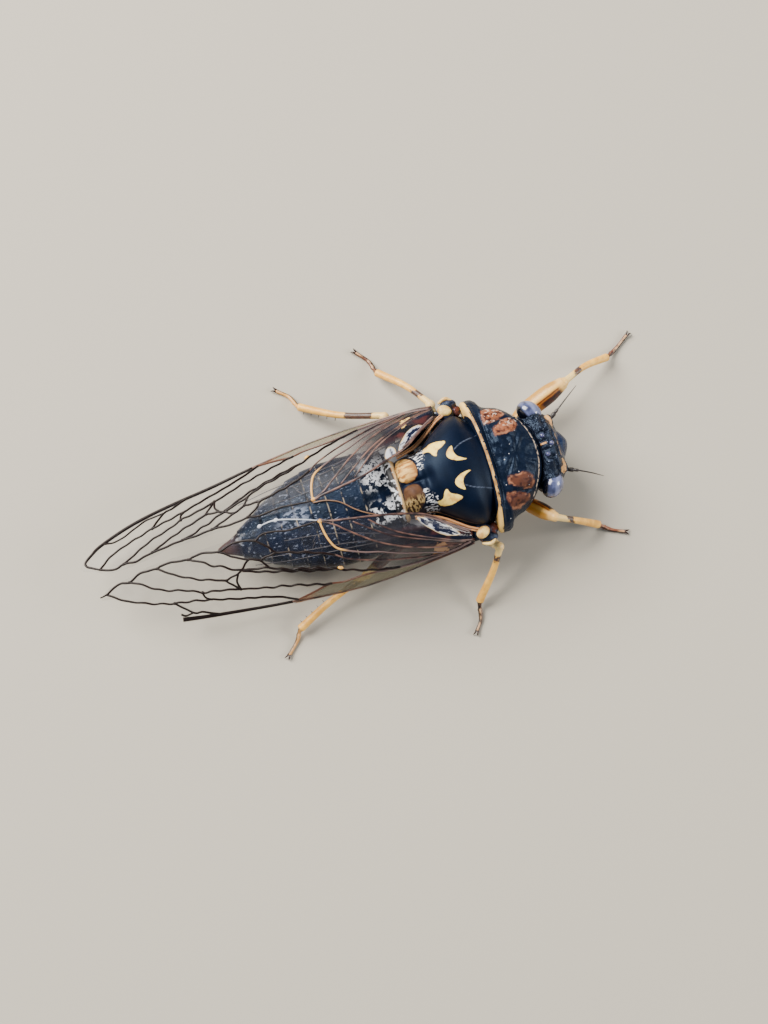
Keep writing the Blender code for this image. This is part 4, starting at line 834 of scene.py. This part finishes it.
# The beak: a brown sheath that darkens to its tip. It hangs from the underside of the face and
# lies back under the body between the hips.
beak_paint = Finish("beak_sheath", Roughness=0.4, IOR=1.5)
beak_paint.coat(beak_paint.blend(beak_paint.x.under(7.2, 0.8), srgb(128, 82, 44), srgb(38, 26, 22)), 0.4,
                beak_paint.noise(9), 0.03)
beak = rod([(11.9, MIDLINE, 1.14), (11.0, MIDLINE, 1.0), (9.6, MIDLINE, 0.9), (7.5, MIDLINE, 0.8),
            (5.6, MIDLINE, 0.75)],
           [0.36, 0.37, 0.34, 0.29, 0.12], 24, 80)
add_piece("beak_rod", beak, [beak_paint], "tip_brown", "beak")

# The legs. Each is one smooth skin from hip to foot over its joints: tan with a pale knee and a
# blue-black patch on the shin, a thick amber thigh on the fore legs, dark thighs on the others,
# and a thin jointed foot. Two small claws, and spines on the hind shins, are pieces of their own.
def leg_parts(name):
    hip, knee, shin, ankle, sole, toe = (Vector(point) for point in LEGS[name][:6])
    thigh = LEGS[name][6]
    ahead = (knee - hip).normalized()
    middle = hip.lerp(knee, 0.5) + Vector((0, 0, 0.12))
    parts = []
    if name.startswith("fore"):
        parts.append(hip_shape(name))
    parts.append(rod([hip, hip + ahead * 0.7], [0.4, 0.36], 20, 8))
    parts.append(rod([hip + ahead * 0.45, middle, knee - ahead * 0.1],
                     [0.36, thigh * 0.92, thigh, thigh * 0.97, thigh * 0.62], 28, 60))
    parts.append(ball(knee - ahead * 0.1, (0.42, 0.42, 0.4)))
    parts.append(rod([knee, shin, ankle], [0.3, 0.27, 0.29, 0.32, 0.35], 24, 70))
    foot = [ankle + Vector((0, 0, -0.05)), ankle.lerp(sole, 0.4) + Vector((0, 0, -0.13)),
            sole - Vector((0, 0, 0.02)), toe - Vector((0, 0, 0.03))]
    parts.append(rod(foot, [0.2, 0.18, 0.16, 0.19, 0.17, 0.15, 0.17], 20, 60))
    parts.append(ball(ankle.lerp(sole, 0.45) + Vector((0, 0, -0.12)), (0.22, 0.22, 0.18)))
    return parts


def run_along(piece, points):
    """For each vertex, how far along the leg it sits: 1 at the knee, 2 at the ankle, 3 at the toe."""
    places = vertex_places(piece)
    best = np.full(len(places), 99.0)
    run = np.zeros(len(places))
    for start, end, begin, finish in points:
        start, line = np.array(start), np.array(end) - np.array(start)
        share = np.clip(((places - start) @ line) / (line @ line), 0, 1)
        gap = np.linalg.norm(places - start - share[:, None] * line, axis=1)
        nearer = gap < best
        best = np.where(nearer, gap, best)
        run = np.where(nearer, begin + share * (finish - begin), run)
    return run


SHIN_PATCH = {
    # start and end of the blue-black patch, 1 at the knee and 2 at the ankle
    "fore_left": (1.24, 1.38), "fore_right": (1.24, 1.36), "mid_left": (1.17, 1.33),
    "mid_right": (1.15, 1.25), "hind_left": (1.12, 1.42), "hind_right": (1.12, 1.3)}
FOOT_TONE = {"fore_left": (84, 46, 40), "fore_right": (128, 72, 50), "mid_left": (96, 56, 38),
             "mid_right": (70, 46, 36), "hind_left": (214, 150, 70), "hind_right": (190, 134, 72)}
for name, (hip, knee, shin, ankle, sole, toe, thigh) in LEGS.items():
    side = 1 if name.endswith("left") else -1
    hide = Finish(f"leg_{name}", Roughness=0.4, Subsurface_Weight=0.1)
    run, top, aside = hide.drawn("run"), hide.drawn("facing_up"), hide.drawn("aside")
    ragged = (hide.noise(2.6, 4) - 0.5) * 0.12
    hide_colour = hide.blend(hide.noise(1.2, 4).over(0.5, 0.4), srgb(252, 188, 84), srgb(218, 150, 58))
    knee_share = run.over(1.0, 0.06) * (run + ragged).under(SHIN_PATCH[name][0], 0.1)
    hide_colour = hide.blend(knee_share, hide_colour, srgb(234, 194, 118))
    if name.startswith("fore"):
        thigh_tone = hide.blend((aside + hide.noise(1.4, 3, (1, 1, 0.4)) * 0.4).over(0.2, 0.5),
                                srgb(184, 128, 52), srgb(136, 84, 26))
        # Painted highlight: a pale cream band along the upward faces of the fore thighs.
        thigh_top_highlight = abs(aside + 0.12).under(0.24, 0.3) * top.over(0.6, 0.4)
        thigh_tone = hide.blend(thigh_top_highlight, thigh_tone, srgb(226, 172, 92))
        stripe = abs(aside - 0.3 + ragged).under(0.07, 0.08) * run.over(0.35, 0.2)
        thigh_tone = hide.blend(stripe, thigh_tone, srgb(78, 44, 20))
        stain = (aside + ragged).over(0.5, 0.16) * abs(run + ragged - 0.74).under(0.2, 0.1)
        thigh_tone = hide.blend(stain, thigh_tone, srgb(34, 20, 16))
        thigh_tone = hide.blend(run.over(0.9, 0.08), thigh_tone, srgb(226, 174, 100))
    else:
        thigh_tone = hide.blend(hide.noise(1.4, 3), srgb(30, 20, 18), srgb(82, 52, 34))
        thigh_tone = hide.blend(run.over(0.86, 0.1), thigh_tone, srgb(236, 202, 140))
    hide_colour = hide.blend(run.under(1.0, 0.04), hide_colour, thigh_tone)
    begin, end = SHIN_PATCH[name]
    patch = abs(run + ragged * 2.4 + aside * 0.04 - (begin + end) / 2).under((end - begin) / 2, 0.04)
    patch = patch * top.over(0.0, 0.5)
    hide_colour = hide.blend(patch * 0.95, hide_colour, srgb(30, 32, 46))
    shaded = run.over(1.4, 0.2) * run.under(2.0, 0.02) * top.under(-0.1, 0.5)
    hide_colour = hide.blend(shaded, hide_colour, srgb(120, 72, 32))
    foot_tone = hide.blend((aside * side + hide.noise(1.5, 3) * 0.6).over(0.45, 0.25), srgb(*FOOT_TONE[name]),
                           srgb(*(part * 0.42 for part in FOOT_TONE[name])))
    # Painted highlight: pale patches on the upward faces of the feet.
    foot_top_highlight = top.over(0.85, 0.2) * hide.noise(2.2, 2).over(0.5, 0.2) * 0.7
    foot_tone = hide.blend(foot_top_highlight, foot_tone, srgb(216, 168, 120))
    hide_colour = hide.blend(run.over(2.0, 0.03), hide_colour, foot_tone)
    hide.coat(hide_colour, 0.38, hide.noise(9, 4), 0.03)
    nodes = [f"femur_{name}", f"tibia_{name}", f"tarsus_{name}"]
    leg = add_piece(f"leg_{name}", gather(leg_parts(name)), [hide], "leg_pale", *nodes, grain=0.055)
    for vert in leg.data.vertices:
        vert.co.z = max(vert.co.z, 0.0)
    draw(leg, "run", run_along(leg, [(hip, knee, 0, 1), (knee, shin, 1, 1.5), (shin, ankle, 1.5, 2),
                                     (ankle, sole, 2, 2.5), (sole, toe, 2.5, 3)]))
    faces = np.array([vert.normal for vert in leg.data.vertices])
    outward = (Vector(knee) - Vector(hip)).cross(Vector((0, 0, 1))).normalized() * side
    draw(leg, "facing_up", faces[:, 2])
    draw(leg, "aside", faces @ np.array(outward))

    toe_end = Vector(toe)
    ahead = (toe_end - Vector(sole)).normalized()
    across = Vector((-ahead.y, ahead.x, 0))
    barbs = []
    for turn in (0.12, -0.12):
        root = toe_end - ahead * 0.12 + across * turn * 0.5
        bend = toe_end + ahead * 0.2 + across * turn + Vector((0, 0, 0.08))
        tip = toe_end + ahead * 0.4 + across * turn * 1.8 + Vector((0, 0, -0.12))
        barbs.append(rod([root, bend, tip], [0.09, 0.07, 0.02], 12, 24))
    if name.startswith("hind"):
        for share in (0.1, 0.3, 0.5, 0.68, 0.86):
            root = Vector(shin).lerp(Vector(ankle), share)
            barbs.append(rod([root, root + Vector((-0.22, -0.5 * side, -0.12))], [0.07, 0.05, 0.015], 10, 12))
    barb_paint = Finish(f"claw_{name}", Roughness=0.3)
    barb_paint.coat(barb_paint.blend(barb_paint.noise(4), srgb(26, 18, 18), srgb(58, 34, 28)), 0.3)
    add_piece(f"claws_{name}", gather(barbs), [barb_paint], "foot_brown")

# The hindwings: small fans of clear film with faint veins, folded flat over the abdomen under
# the forewings, with a hinge on the thorax. The left one's lobe shows past the forewing.
COSTAL_Y = ((4.0, 5.9), (2.0, 6.2), (-0.8, 6.4), (-5.0, 6.5), (-8.3, 6.35), (-12.0, 6.0), (-16.0, 5.4),
            (-20.0, 4.9), (-23.0, 4.35), (-26.0, 3.4), (-28.7, 2.3))
INNER_Y = {
    "left": ((4.0, 5.1), (2.0, 4.0), (0.35, 2.95), (-1.5, 2.25), (-3.9, 1.5), (-8.2, 0.9), (-12.0, 1.15),
             (-20.0, 1.25), (-24.6, 0.95), (-28.7, 0.9)),
    "right": ((4.0, 5.1), (2.0, 4.0), (0.35, 2.95), (-1.5, 2.35), (-5.0, 1.5), (-8.2, 0.8), (-12.0, 0.45),
              (-18.0, 0.25), (-22.0, 0.1), (-25.0, 0.45), (-28.7, 0.5))}
INNER_Z = ((4.0, 5.7), (2.2, 6.9), (0.6, 7.8), (-1.3, 8.5), (-3.7, 8.7), (-6.6, 8.5), (-8.2, 8.2),
           (-11.9, 7.4), (-17.4, 6.1), (-22.4, 4.7), (-28.7, 3.0))
COSTAL_Z = ((4.0, 5.4), (2.0, 5.1), (-0.8, 4.3), (-5.0, 3.3), (-8.3, 2.8), (-12.4, 2.4), (-16.9, 2.2),
            (-22.7, 2.3), (-28.7, 2.8))
HIND_LOW = ((-0.1, 0.4), (-1.5, 0.2), (-4.0, 0.1), (-8.0, 0.08), (-11.0, 0.13), (-13.5, 0.27),
            (-15.2, 0.45))
HIND_HIGH = ((-0.1, 0.5), (-1.0, 0.64), (-3.0, 0.66), (-7.0, 0.64), (-11.0, 0.63), (-14.2, 0.58),
             (-15.2, 0.45))
HIND_VEINS = (
    ((-0.2, 0.5), (-3.0, 0.58), (-7.0, 0.58), (-11.0, 0.57), (-14.4, 0.5)),
    ((-3.0, 0.58), (-6.0, 0.5), (-10.0, 0.46), (-14.4, 0.4)),
    ((-0.2, 0.46), (-3.5, 0.42), (-6.0, 0.3), (-9.0, 0.22), (-11.6, 0.18)),
    ((-9.0, 0.22), (-9.4, 0.34)),
    ((-9.2, 0.34), (-9.6, 0.46)))
HIND_DROP = 1.08
STEEPER = ((0.0, 0.04), (-8.0, 0.07), (-13.0, 0.1), (-15.5, 0.16), (-22.5, 0.15), (-24.0, 0.07),
           (-25.6, 0.0))


def wing_place(name, x, share, drop=0.0):
    """A point of a folded wing: share 0 along its inner edge, 1 along its costal edge."""
    side = SIDES[name]

    def surface(at_x, at_share):
        inner, costal = at(INNER_Y[name], at_x), at(COSTAL_Y, at_x)
        fall = 0.05 * at_share + 0.95 * max(0.0, at_share) ** 2.8
        high = at(INNER_Z, at_x)
        return Vector((at_x, (inner + (costal - inner) * at_share) * side,
                       high + (at(COSTAL_Z, at_x) - high) * fall))

    place = surface(x, share)
    lengthwise = surface(x + 0.05, share) - surface(x - 0.05, share)
    across = surface(x, share + 0.02) - surface(x, share - 0.02)
    return place - lengthwise.cross(across).normalized() * drop * side


def membrane(name, low, high, drop, columns, rows):
    """A thin, slightly crumpled sheet between two edges that are read along x."""
    start, end = low[0][0], low[-1][0]
    sheet = bmesh.new()
    bmesh.ops.create_grid(sheet, x_segments=columns, y_segments=rows, size=0.5)
    for vert in sheet.verts:
        x = start + (end - start) * math.sin((vert.co.x + 0.5) * math.pi / 2)
        bottom = at(low, x)
        share = bottom + (at(high, x) - bottom) * (vert.co.y + 0.5)
        crumple = 0.05 * noise.noise(Vector((x * 0.7, share * 6, drop)))
        vert.co = wing_place(name, x, share, drop + crumple)
    bmesh.ops.remove_doubles(sheet, verts=sheet.verts, dist=0.001)
    bmesh.ops.recalc_face_normals(sheet, faces=sheet.faces)
    bmesh.ops.solidify(sheet, geom=list(sheet.faces), thickness=0.045)
    return sheet


def steepened(name, x, share):
    """The left forewing's veins bow a little further towards its inner edge."""
    if name == "left":
        share -= at(STEEPER, x) * 4 * max(0.0, share * (1 - share))
    return share


def wing_shares(name, places):
    """How far out on the wing each place lies: 0 on its inner edge and 1 on its costal edge."""
    shares = []
    for x, y in places[:, :2]:
        inner = at(INNER_Y[name], x)
        shares.append((y * SIDES[name] - inner) / (at(COSTAL_Y, x) - inner))
    return shares


def wing_vein(name, points, radii, drop=0.0, wave=0.0):
    """A vein laid along the wing through (x, share) points, waving a little from side to side."""
    length = sum((Vector(a) - Vector(b)).length for a, b in zip(points, points[1:]))
    steps = max(6, round(length / 0.3))
    path = []
    for i in range(steps + 1):
        x, share = along(points, i / steps)
        if drop == 0:
            share = steepened(name, x, share)
        share += wave * math.sin(x * 4.6 + points[0][1] * 9) * math.sin(math.pi * i / steps)
        path.append(wing_place(name, x, share, drop))
    return rod(path, radii, 8, steps * 2)


for name in SIDES:
    film = Finish(f"hind_film_{name}", Roughness=0.25, IOR=1.4)
    film_colour = film.blend(film.noise(0.8, 4), srgb(40, 42, 50), srgb(74, 76, 84))
    thickness = film.noise(0.9, 4).over(0.5, 0.4) * 0.03 + 0.015
    film.coat(film_colour, 0.25, film.noise(1.2, 5), 0.08, thickness)
    add_piece(f"hind_film_{name}", membrane(name, HIND_LOW, HIND_HIGH, HIND_DROP, 120, 30), [film],
              "wing_membrane", f"hindwing_{name}")
    hind_ink = Finish(f"hind_vein_{name}", Roughness=0.4)
    hind_ink.coat(hind_ink.blend(hind_ink.noise(1.2, 3), srgb(30, 28, 34), srgb(74, 70, 76)), 0.4)
    if name == "left":
        lobe = rod([(-8.2, 1.0, 6.35), (-7.2, 0.85, 6.6), (-6.1, 0.35, 6.8), (-5.1, -0.58, 6.95),
                    (-4.25, -1.18, 7.0), (-2.9, -1.85, 6.9)], [0.06, 0.05, 0.05, 0.04], 8, 60)
        lobe_paint = Finish("lobe_edge", Roughness=0.45)
        lobe_paint.coat(lobe_paint.blend(lobe_paint.noise(1.5), srgb(150, 112, 78), srgb(96, 72, 60)), 0.45)
        add_piece("lobe_edge", lobe, [lobe_paint], "wing_membrane")
    add_piece(f"hind_veins_{name}", gather([wing_vein(name, points, [0.045, 0.04, 0.03], HIND_DROP)
                                            for points in HIND_VEINS]), [hind_ink], "wing_membrane")

# The forewings: long clear panes between wavy dark veins, folded like a roof over the abdomen.
# The left one is whole, and the right one has lost a strip of its tip along the costal edge.
LOW_EDGE = {
    "left": ((3.55, 0.0), (-7.4, 0.0), (-9.0, -0.055), (-14.0, -0.06), (-20.0, -0.08), (-26.3, -0.08),
             (-27.1, 0.15), (-28.0, 0.38), (-28.3, 0.62)),
    "right": ((3.55, 0.0), (-7.4, 0.0), (-8.3, -0.02), (-9.6, -0.08), (-11.6, -0.15), (-12.9, -0.14),
              (-14.5, -0.08), (-20.0, -0.06), (-24.0, -0.07), (-26.3, -0.02), (-26.9, 0.1),
              (-27.2, 0.22), (-27.25, 0.3))}
HIGH_EDGE = {
    "left": ((3.55, 0.96), (0.0, 0.98), (-4.0, 1.0), (-26.0, 1.0), (-27.0, 0.98), (-27.9, 0.86),
             (-28.3, 0.62)),
    "right": ((3.55, 0.96), (0.0, 0.98), (-4.0, 1.0), (-18.4, 1.0), (-19.4, 0.93), (-20.2, 0.9),
              (-20.9, 0.83), (-21.6, 0.72), (-22.9, 0.67), (-23.9, 0.61), (-25.4, 0.48), (-26.2, 0.36),
              (-26.9, 0.32), (-27.25, 0.3))}
BORDER_VEIN = ((-8.1, 0.0), (-9.5, 0.03), (-10.9, 0.04), (-12.0, 0.0), (-13.0, 0.0), (-13.6, 0.05),
               (-14.7, 0.0), (-15.8, 0.01), (-16.7, 0.06), (-17.7, 0.01), (-18.8, 0.01), (-19.3, 0.04),
               (-20.4, 0.01), (-21.6, 0.0), (-22.0, 0.03), (-22.7, 0.0), (-23.6, -0.03), (-24.6, 0.04),
               (-25.3, -0.02), (-26.0, 0.03), (-26.7, 0.16))
DARK_VEINS = (
    # from each knot on the hind border inwards, the tip's first
    ((-26.7, 0.16), (-26.2, 0.27), (-25.4, 0.44), (-23.9, 0.58), (-22.9, 0.65), (-21.5, 0.7),
     (-20.0, 0.72), (-18.4, 0.76), (-16.2, 0.83), (-13.3, 0.89), (-11.7, 0.97)),
    ((-24.6, 0.04), (-23.7, 0.18), (-22.8, 0.35), (-21.7, 0.46), (-20.2, 0.53), (-19.0, 0.62),
     (-18.0, 0.64), (-16.8, 0.67), (-15.9, 0.7)),
    ((-22.0, 0.03), (-21.0, 0.2), (-19.8, 0.33), (-19.0, 0.4), (-17.8, 0.47), (-16.8, 0.53)),
    ((-19.3, 0.04), (-18.2, 0.15), (-17.6, 0.24), (-16.8, 0.3), (-16.0, 0.39), (-15.3, 0.43)),
    ((-16.7, 0.06), (-16.2, 0.12), (-15.6, 0.22), (-14.5, 0.3), (-13.6, 0.36)),
    ((-13.6, 0.05), (-13.2, 0.12), (-12.6, 0.23), (-12.2, 0.3), (-10.4, 0.38), (-9.1, 0.44),
     (-7.7, 0.52)),
    # cross-veins between them
    ((-21.5, 0.7), (-20.8, 0.83), (-20.2, 0.9), (-19.5, 0.92), (-18.2, 0.99)),
    ((-19.0, 0.62), (-18.9, 0.7), (-18.4, 0.76)),
    ((-16.8, 0.53), (-16.4, 0.51), (-15.8, 0.47), (-15.3, 0.43)),
    ((-16.8, 0.53), (-16.6, 0.59), (-15.9, 0.7)),
    ((-15.7, 0.47), (-16.0, 0.58), (-15.9, 0.7)),
    ((-15.3, 0.43), (-14.9, 0.36), (-14.5, 0.3)),
    ((-13.6, 0.36), (-12.9, 0.32), (-12.2, 0.3)),
    ((-13.6, 0.36), (-13.4, 0.43), (-13.1, 0.49)),
    # stems that run on to the root
    ((-15.3, 0.43), (-14.2, 0.46), (-13.1, 0.49), (-11.9, 0.56), (-10.0, 0.62), (-8.1, 0.7), (-6.3, 0.78),
     (-4.4, 0.85), (-2.9, 0.895)),
    ((-15.3, 0.45), (-13.6, 0.53), (-11.5, 0.6), (-9.5, 0.67), (-8.2, 0.695)),
    ((-15.9, 0.7), (-13.8, 0.75), (-11.9, 0.78), (-9.5, 0.85), (-8.6, 0.87)))
BROWN_VEINS = (
    ((-7.7, 0.52), (-7.0, 0.59), (-5.9, 0.65), (-4.8, 0.7), (-2.8, 0.78), (-0.3, 0.87), (1.8, 0.92)),
    ((-8.1, 0.01), (-7.0, 0.1), (-6.4, 0.18), (-5.4, 0.3), (-4.3, 0.43), (-2.9, 0.55), (-1.8, 0.63),
     (0.1, 0.73), (2.4, 0.8)),
    ((-4.4, 0.06), (-3.6, 0.18), (-2.6, 0.31), (-1.5, 0.41), (0.0, 0.52), (2.0, 0.63), (3.4, 0.74)),
    ((-5.6, 0.07), (-4.2, 0.24), (-2.9, 0.38), (-1.2, 0.5), (0.6, 0.6), (2.8, 0.72)))
YELLOW_VEIN = ((-8.1, 0.01), (-8.12, 0.08), (-8.0, 0.22), (-7.8, 0.33), (-7.5, 0.42), (-6.9, 0.48),
               (-5.4, 0.56), (-4.2, 0.6), (-2.7, 0.69), (-0.3, 0.81), (1.3, 0.92))
CLAVUS_EDGE = ((3.55, 0.08), (1.8, 0.02), (0.2, -0.01), (-2.2, 0.0), (-4.2, 0.01), (-6.9, 0.03),
               (-8.1, 0.0))
RADIUS = ((-11.8, 0.98), (-10.2, 0.92), (-8.8, 0.87), (-7.6, 0.88), (-5.4, 0.86), (-2.9, 0.9),
          (-0.4, 0.92), (1.8, 0.9), (3.2, 0.81))
ROOT_CELL = {
    "left": [((-0.35, 2.85), (0.15, 3.65), (1.0, 4.35), (1.8, 4.6), (2.2, 4.4), (1.6, 3.75), (0.8, 3.2),
              (0.1, 2.85)),
             ((-1.6, 2.45), (-1.35, 3.1), (-0.95, 3.35), (-0.6, 3.1), (-0.65, 2.6), (-1.1, 2.35))],
    "right": [((-0.6, 2.8), (-0.2, 3.5), (0.35, 4.05), (0.9, 4.5), (1.6, 4.85), (2.5, 4.9), (1.5, 3.8),
               (0.45, 3.1))]}
BLOTCH = {"left": [((0.3, 4.75), (0.75, 5.35), (1.4, 5.45), (0.95, 4.85))],
          "right": [((0.1, 5.3), (0.75, 5.15), (1.35, 5.5), (1.0, 5.95), (0.15, 5.9))]}
KNOTS = ((-24.6, 0.04), (-22.0, 0.03), (-19.3, 0.04), (-16.7, 0.06), (-13.6, 0.05), (-16.8, 0.53),
         (-15.9, 0.7), (-15.3, 0.43), (-13.6, 0.36), (-21.5, 0.7), (-19.0, 0.62))
for name, side in SIDES.items():
    pane = Finish(f"pane_{name}", Roughness=0.2, IOR=1.4)
    share = pane.drawn("share")
    costal_cell = pane.drawn("past_radius").over(0.0, 0.02) * pane.x.over(-12.0, 0.3)
    clear_lobe = share.under(0.26, 0.14) * pane.x.under(0.1, 1.4)
    front_strip = costal_cell * pane.x.under(-1.0, 1.0)
    # Towards the root the pane darkens and turns nearly opaque. This is partly the membrane's own dark base
    # and partly painted shade for the shadowed hollow under the wing root.
    root_shade = pane.x.over(-3.2, 6.4) * (1 - front_strip) * (1 - clear_lobe * 0.85)
    pane_colour = pane.blend(pane.noise(0.7, 4), srgb(48, 50, 58), srgb(88, 88, 94))
    grain = pane.noise(1.0, 5, (0.35, 1, 1))
    root_tone = pane.blend(grain.over(0.5, 0.14), srgb(14, 15, 25), srgb(48, 34, 38))
    root_tone = pane.blend(pane.noise(0.9, 3, (0.5, 1, 1)).over(0.6, 0.1), root_tone, srgb(72, 40, 40))
    pane_colour = pane.blend(root_shade, pane_colour, root_tone)
    navy = abs(share - 0.56).under(0.1, 0.1) * pane.x.over(-1.0, 1.6) * pane.noise(0.8, 3).over(0.4, 0.2)
    pane_colour = pane.blend(navy, pane_colour, srgb(18, 22, 40))
    feather = pane.node("ShaderNodeCombineXYZ", {}, {0: (pane.x * 0.85 + pane.across * 0.5 * side) * 1.6,
                                                     1: (pane.across * 0.85 * side - pane.x * 0.5) * 5.0})
    feather = pane.node("ShaderNodeTexNoise", {}, {"Vector": feather, "Scale": 1.0, "Detail": 6})
    feather = Amount(pane, feather) - 0.5
    cell = pane.drawn("root_cell")
    cell_rim = pane.blend((cell + feather * 0.4).over(0.05, 0.06), srgb(212, 182, 132), srgb(196, 198, 206))
    pane_colour = pane.blend((cell + feather * 0.08).over(0.0, 0.05), pane_colour, cell_rim)
    core = (cell + feather * 2.0).over(0.22 if name == "left" else 0.08, 0.14)
    core = core * cell.over(0.05, 0.05) * pane.x.over(-1.05, 0.3)
    pane_colour = pane.blend(core, pane_colour, srgb(26, 32, 54))
    blotch = (pane.drawn("blotch") + (pane.noise(2.6, 6) - 0.5) * 1.1).over(0.0, 0.12)
    blotch_tone = srgb(232, 186, 100) if name == "left" else srgb(140, 104, 76)
    pane_colour = pane.blend(blotch, pane_colour, blotch_tone)
    olive = pane.blend(pane.noise(1.5, 4, (0.3, 1, 1)), srgb(80, 74, 52), srgb(118, 110, 82))
    olive = pane.blend(pane.x.under(-10.4, 1.4) * pane.noise(0.8).over(0.35, 0.2), olive, srgb(166, 108, 58))
    pane_colour = pane.blend(costal_cell * (1 - root_shade), pane_colour, olive)
    clouds = pane.noise(0.55, 4).over(0.5, 0.35)
    costal_tint = 0.36 if name == "left" else 0.5
    see_through = 0.04 + clouds * 0.04 + root_shade * 0.82 + costal_cell * costal_tint
    see_through = see_through.most(cell.over(0.0, 0.1) * 0.9)
    pane.coat(pane_colour, 0.2 + 0.25 * costal_cell, pane.noise(1.0, 5), 0.1, see_through)
    wing = add_piece(f"pane_{name}", membrane(name, LOW_EDGE[name], HIGH_EDGE[name], 0.0, 260, 56), [pane],
                     "wing_membrane", f"forewing_{name}")
    places = vertex_places(wing)
    shares = wing_shares(name, places)
    draw(wing, "share", shares)
    draw(wing, "root_cell", outline_distance(wing, ROOT_CELL[name]))
    draw(wing, "blotch", outline_distance(wing, BLOTCH[name]))
    draw(wing, "past_radius", [share - at(RADIUS[::-1], x) for x, share in zip(places[:, 0], shares)])

    ink = Finish(f"dark_vein_{name}", Roughness=0.35, Specular_IOR_Level=0.2)
    ink.coat(ink.blend(ink.noise(2.0, 3), srgb(14, 10, 11), srgb(36, 24, 22)), 0.35)
    dark = [wing_vein(name, points, [0.095, 0.09, 0.1], 0.0, 0.011) for points in DARK_VEINS]
    dark.append(wing_vein(name, BORDER_VEIN, [0.07, 0.095, 0.1, 0.1], 0.0, 0.006))
    for x, share in KNOTS:
        dark.append(ball(wing_place(name, x, steepened(name, x, share)), (0.14, 0.14, 0.09), 0, 12, 8))
    if name == "left":
        dark.append(wing_vein(name, ((-20.3, 0.9), (-22.2, 0.92), (-23.7, 0.83), (-24.9, 0.8),
                                     (-26.0, 0.98)),
                              [0.08], 0.0, 0.01))
        dark.append(wing_vein(name, ((-26.7, 0.16), (-27.3, 0.36), (-27.7, 0.55), (-27.7, 0.75), (-27.0, 0.9),
                                     (-26.0, 0.99), (-22.0, 0.995), (-16.0, 0.995), (-12.2, 0.985)),
                              [0.09, 0.1, 0.11, 0.14, 0.15, 0.12]))
    else:
        dark.append(wing_vein(name, ((-26.6, 0.14), (-27.0, 0.18), (-27.3, 0.2)), [0.08, 0.06]))
        dark.append(wing_vein(name, ((-21.35, 0.985), (-19.6, 0.99), (-16.0, 1.0), (-12.2, 0.985)),
                              [0.2, 0.17, 0.14, 0.12]))
        dark.append(wing_vein(name, ((-20.3, 0.9), (-21.0, 0.93), (-21.3, 0.9)), [0.08, 0.1]))
    add_piece(f"dark_veins_{name}", gather(dark), [ink], "wing_membrane")

    umber = Finish(f"brown_vein_{name}", Roughness=0.35)
    umber_colour = umber.blend(umber.noise(1.0, 3).over(0.5, 0.3), srgb(38, 26, 30), srgb(110, 80, 70))
    umber.coat(umber_colour, 0.35)
    brown = [wing_vein(name, points, [0.06, 0.07, 0.08]) for points in BROWN_VEINS]
    brown.append(wing_vein(name, CLAVUS_EDGE, [0.1, 0.09, 0.09, 0.09]))
    brown.append(wing_vein(name, ((3.5, 0.96), (0.0, 0.98), (-4.0, 1.0), (-8.0, 1.0), (-12.2, 0.985)),
                           [0.1, 0.07, 0.1]))
    add_piece(f"brown_veins_{name}", gather(brown), [umber], "wing_membrane")

    ochre = Finish(f"yellow_vein_{name}", Roughness=0.4)
    ochre_colour = ochre.blend(ochre.x.over(-6.9, 0.8), srgb(214, 160, 80), srgb(96, 78, 76))
    near_front = ochre.drawn("share").over(0.78, 0.03) * ochre.x.under(-5.0, 1.0)
    ochre_colour = ochre.blend(near_front, ochre_colour, srgb(84, 50, 34))
    ochre.coat(ochre_colour, 0.4)
    yellow = [wing_vein(name, YELLOW_VEIN, [0.07, 0.09, 0.08, 0.06, 0.06]),
              wing_vein(name, RADIUS, [0.1, 0.08, 0.09, 0.12])]
    yellow.append(wing_vein(name, ((3.3, 0.2), (2.2, 0.1), (1.0, 0.06), (0.0, 0.05)), [0.1, 0.09, 0.05]))
    if name == "right":
        # Painted reflection: a whitish line with two bright spots along the right forewing's hind border
        # stands for the sky reflected in its thick edge.
        glint_paint = Finish("edge_glint", Roughness=0.3)
        glint_colour = glint_paint.blend(glint_paint.noise(1.4, 3), srgb(150, 156, 172), srgb(214, 216, 222))
        glint_paint.coat(glint_colour, 0.3)
        edge = [wing_vein(name, ((-13.0, -0.13), (-11.6, -0.15), (-9.6, -0.07), (-8.2, 0.0)),
                          [0.04, 0.06, 0.05, 0.03])]
        for x, share in ((-12.9, -0.13), (-11.5, -0.15)):
            edge.append(ball(wing_place(name, x, share), (0.2, 0.15, 0.07), 0.4, 12, 8))
        add_piece("edge_glint", gather(edge), [glint_paint], "wing_membrane")
    spots = [ball(wing_place(name, -8.1, 0.01), (0.2, 0.18, 0.12), 0, 16, 10),
             ball(wing_place(name, -7.6, 0.7), (0.24, 0.14, 0.1), 0.4 * side, 16, 10)]
    spot_paint = Finish(f"wing_spots_{name}", Roughness=0.45)
    spot_colour = spot_paint.blend(spot_paint.noise(2.4, 4).over(0.5, 0.3), srgb(232, 180, 84),
                                   srgb(186, 128, 62))
    spot_paint.coat(spot_colour, 0.45)
    add_piece(f"wing_spots_{name}", gather(spots), [spot_paint], "wing_membrane")
    stems = add_piece(f"yellow_veins_{name}", gather(yellow), [ochre], "wing_membrane")
    draw(stems, "share", wing_shares(name, vertex_places(stems)))
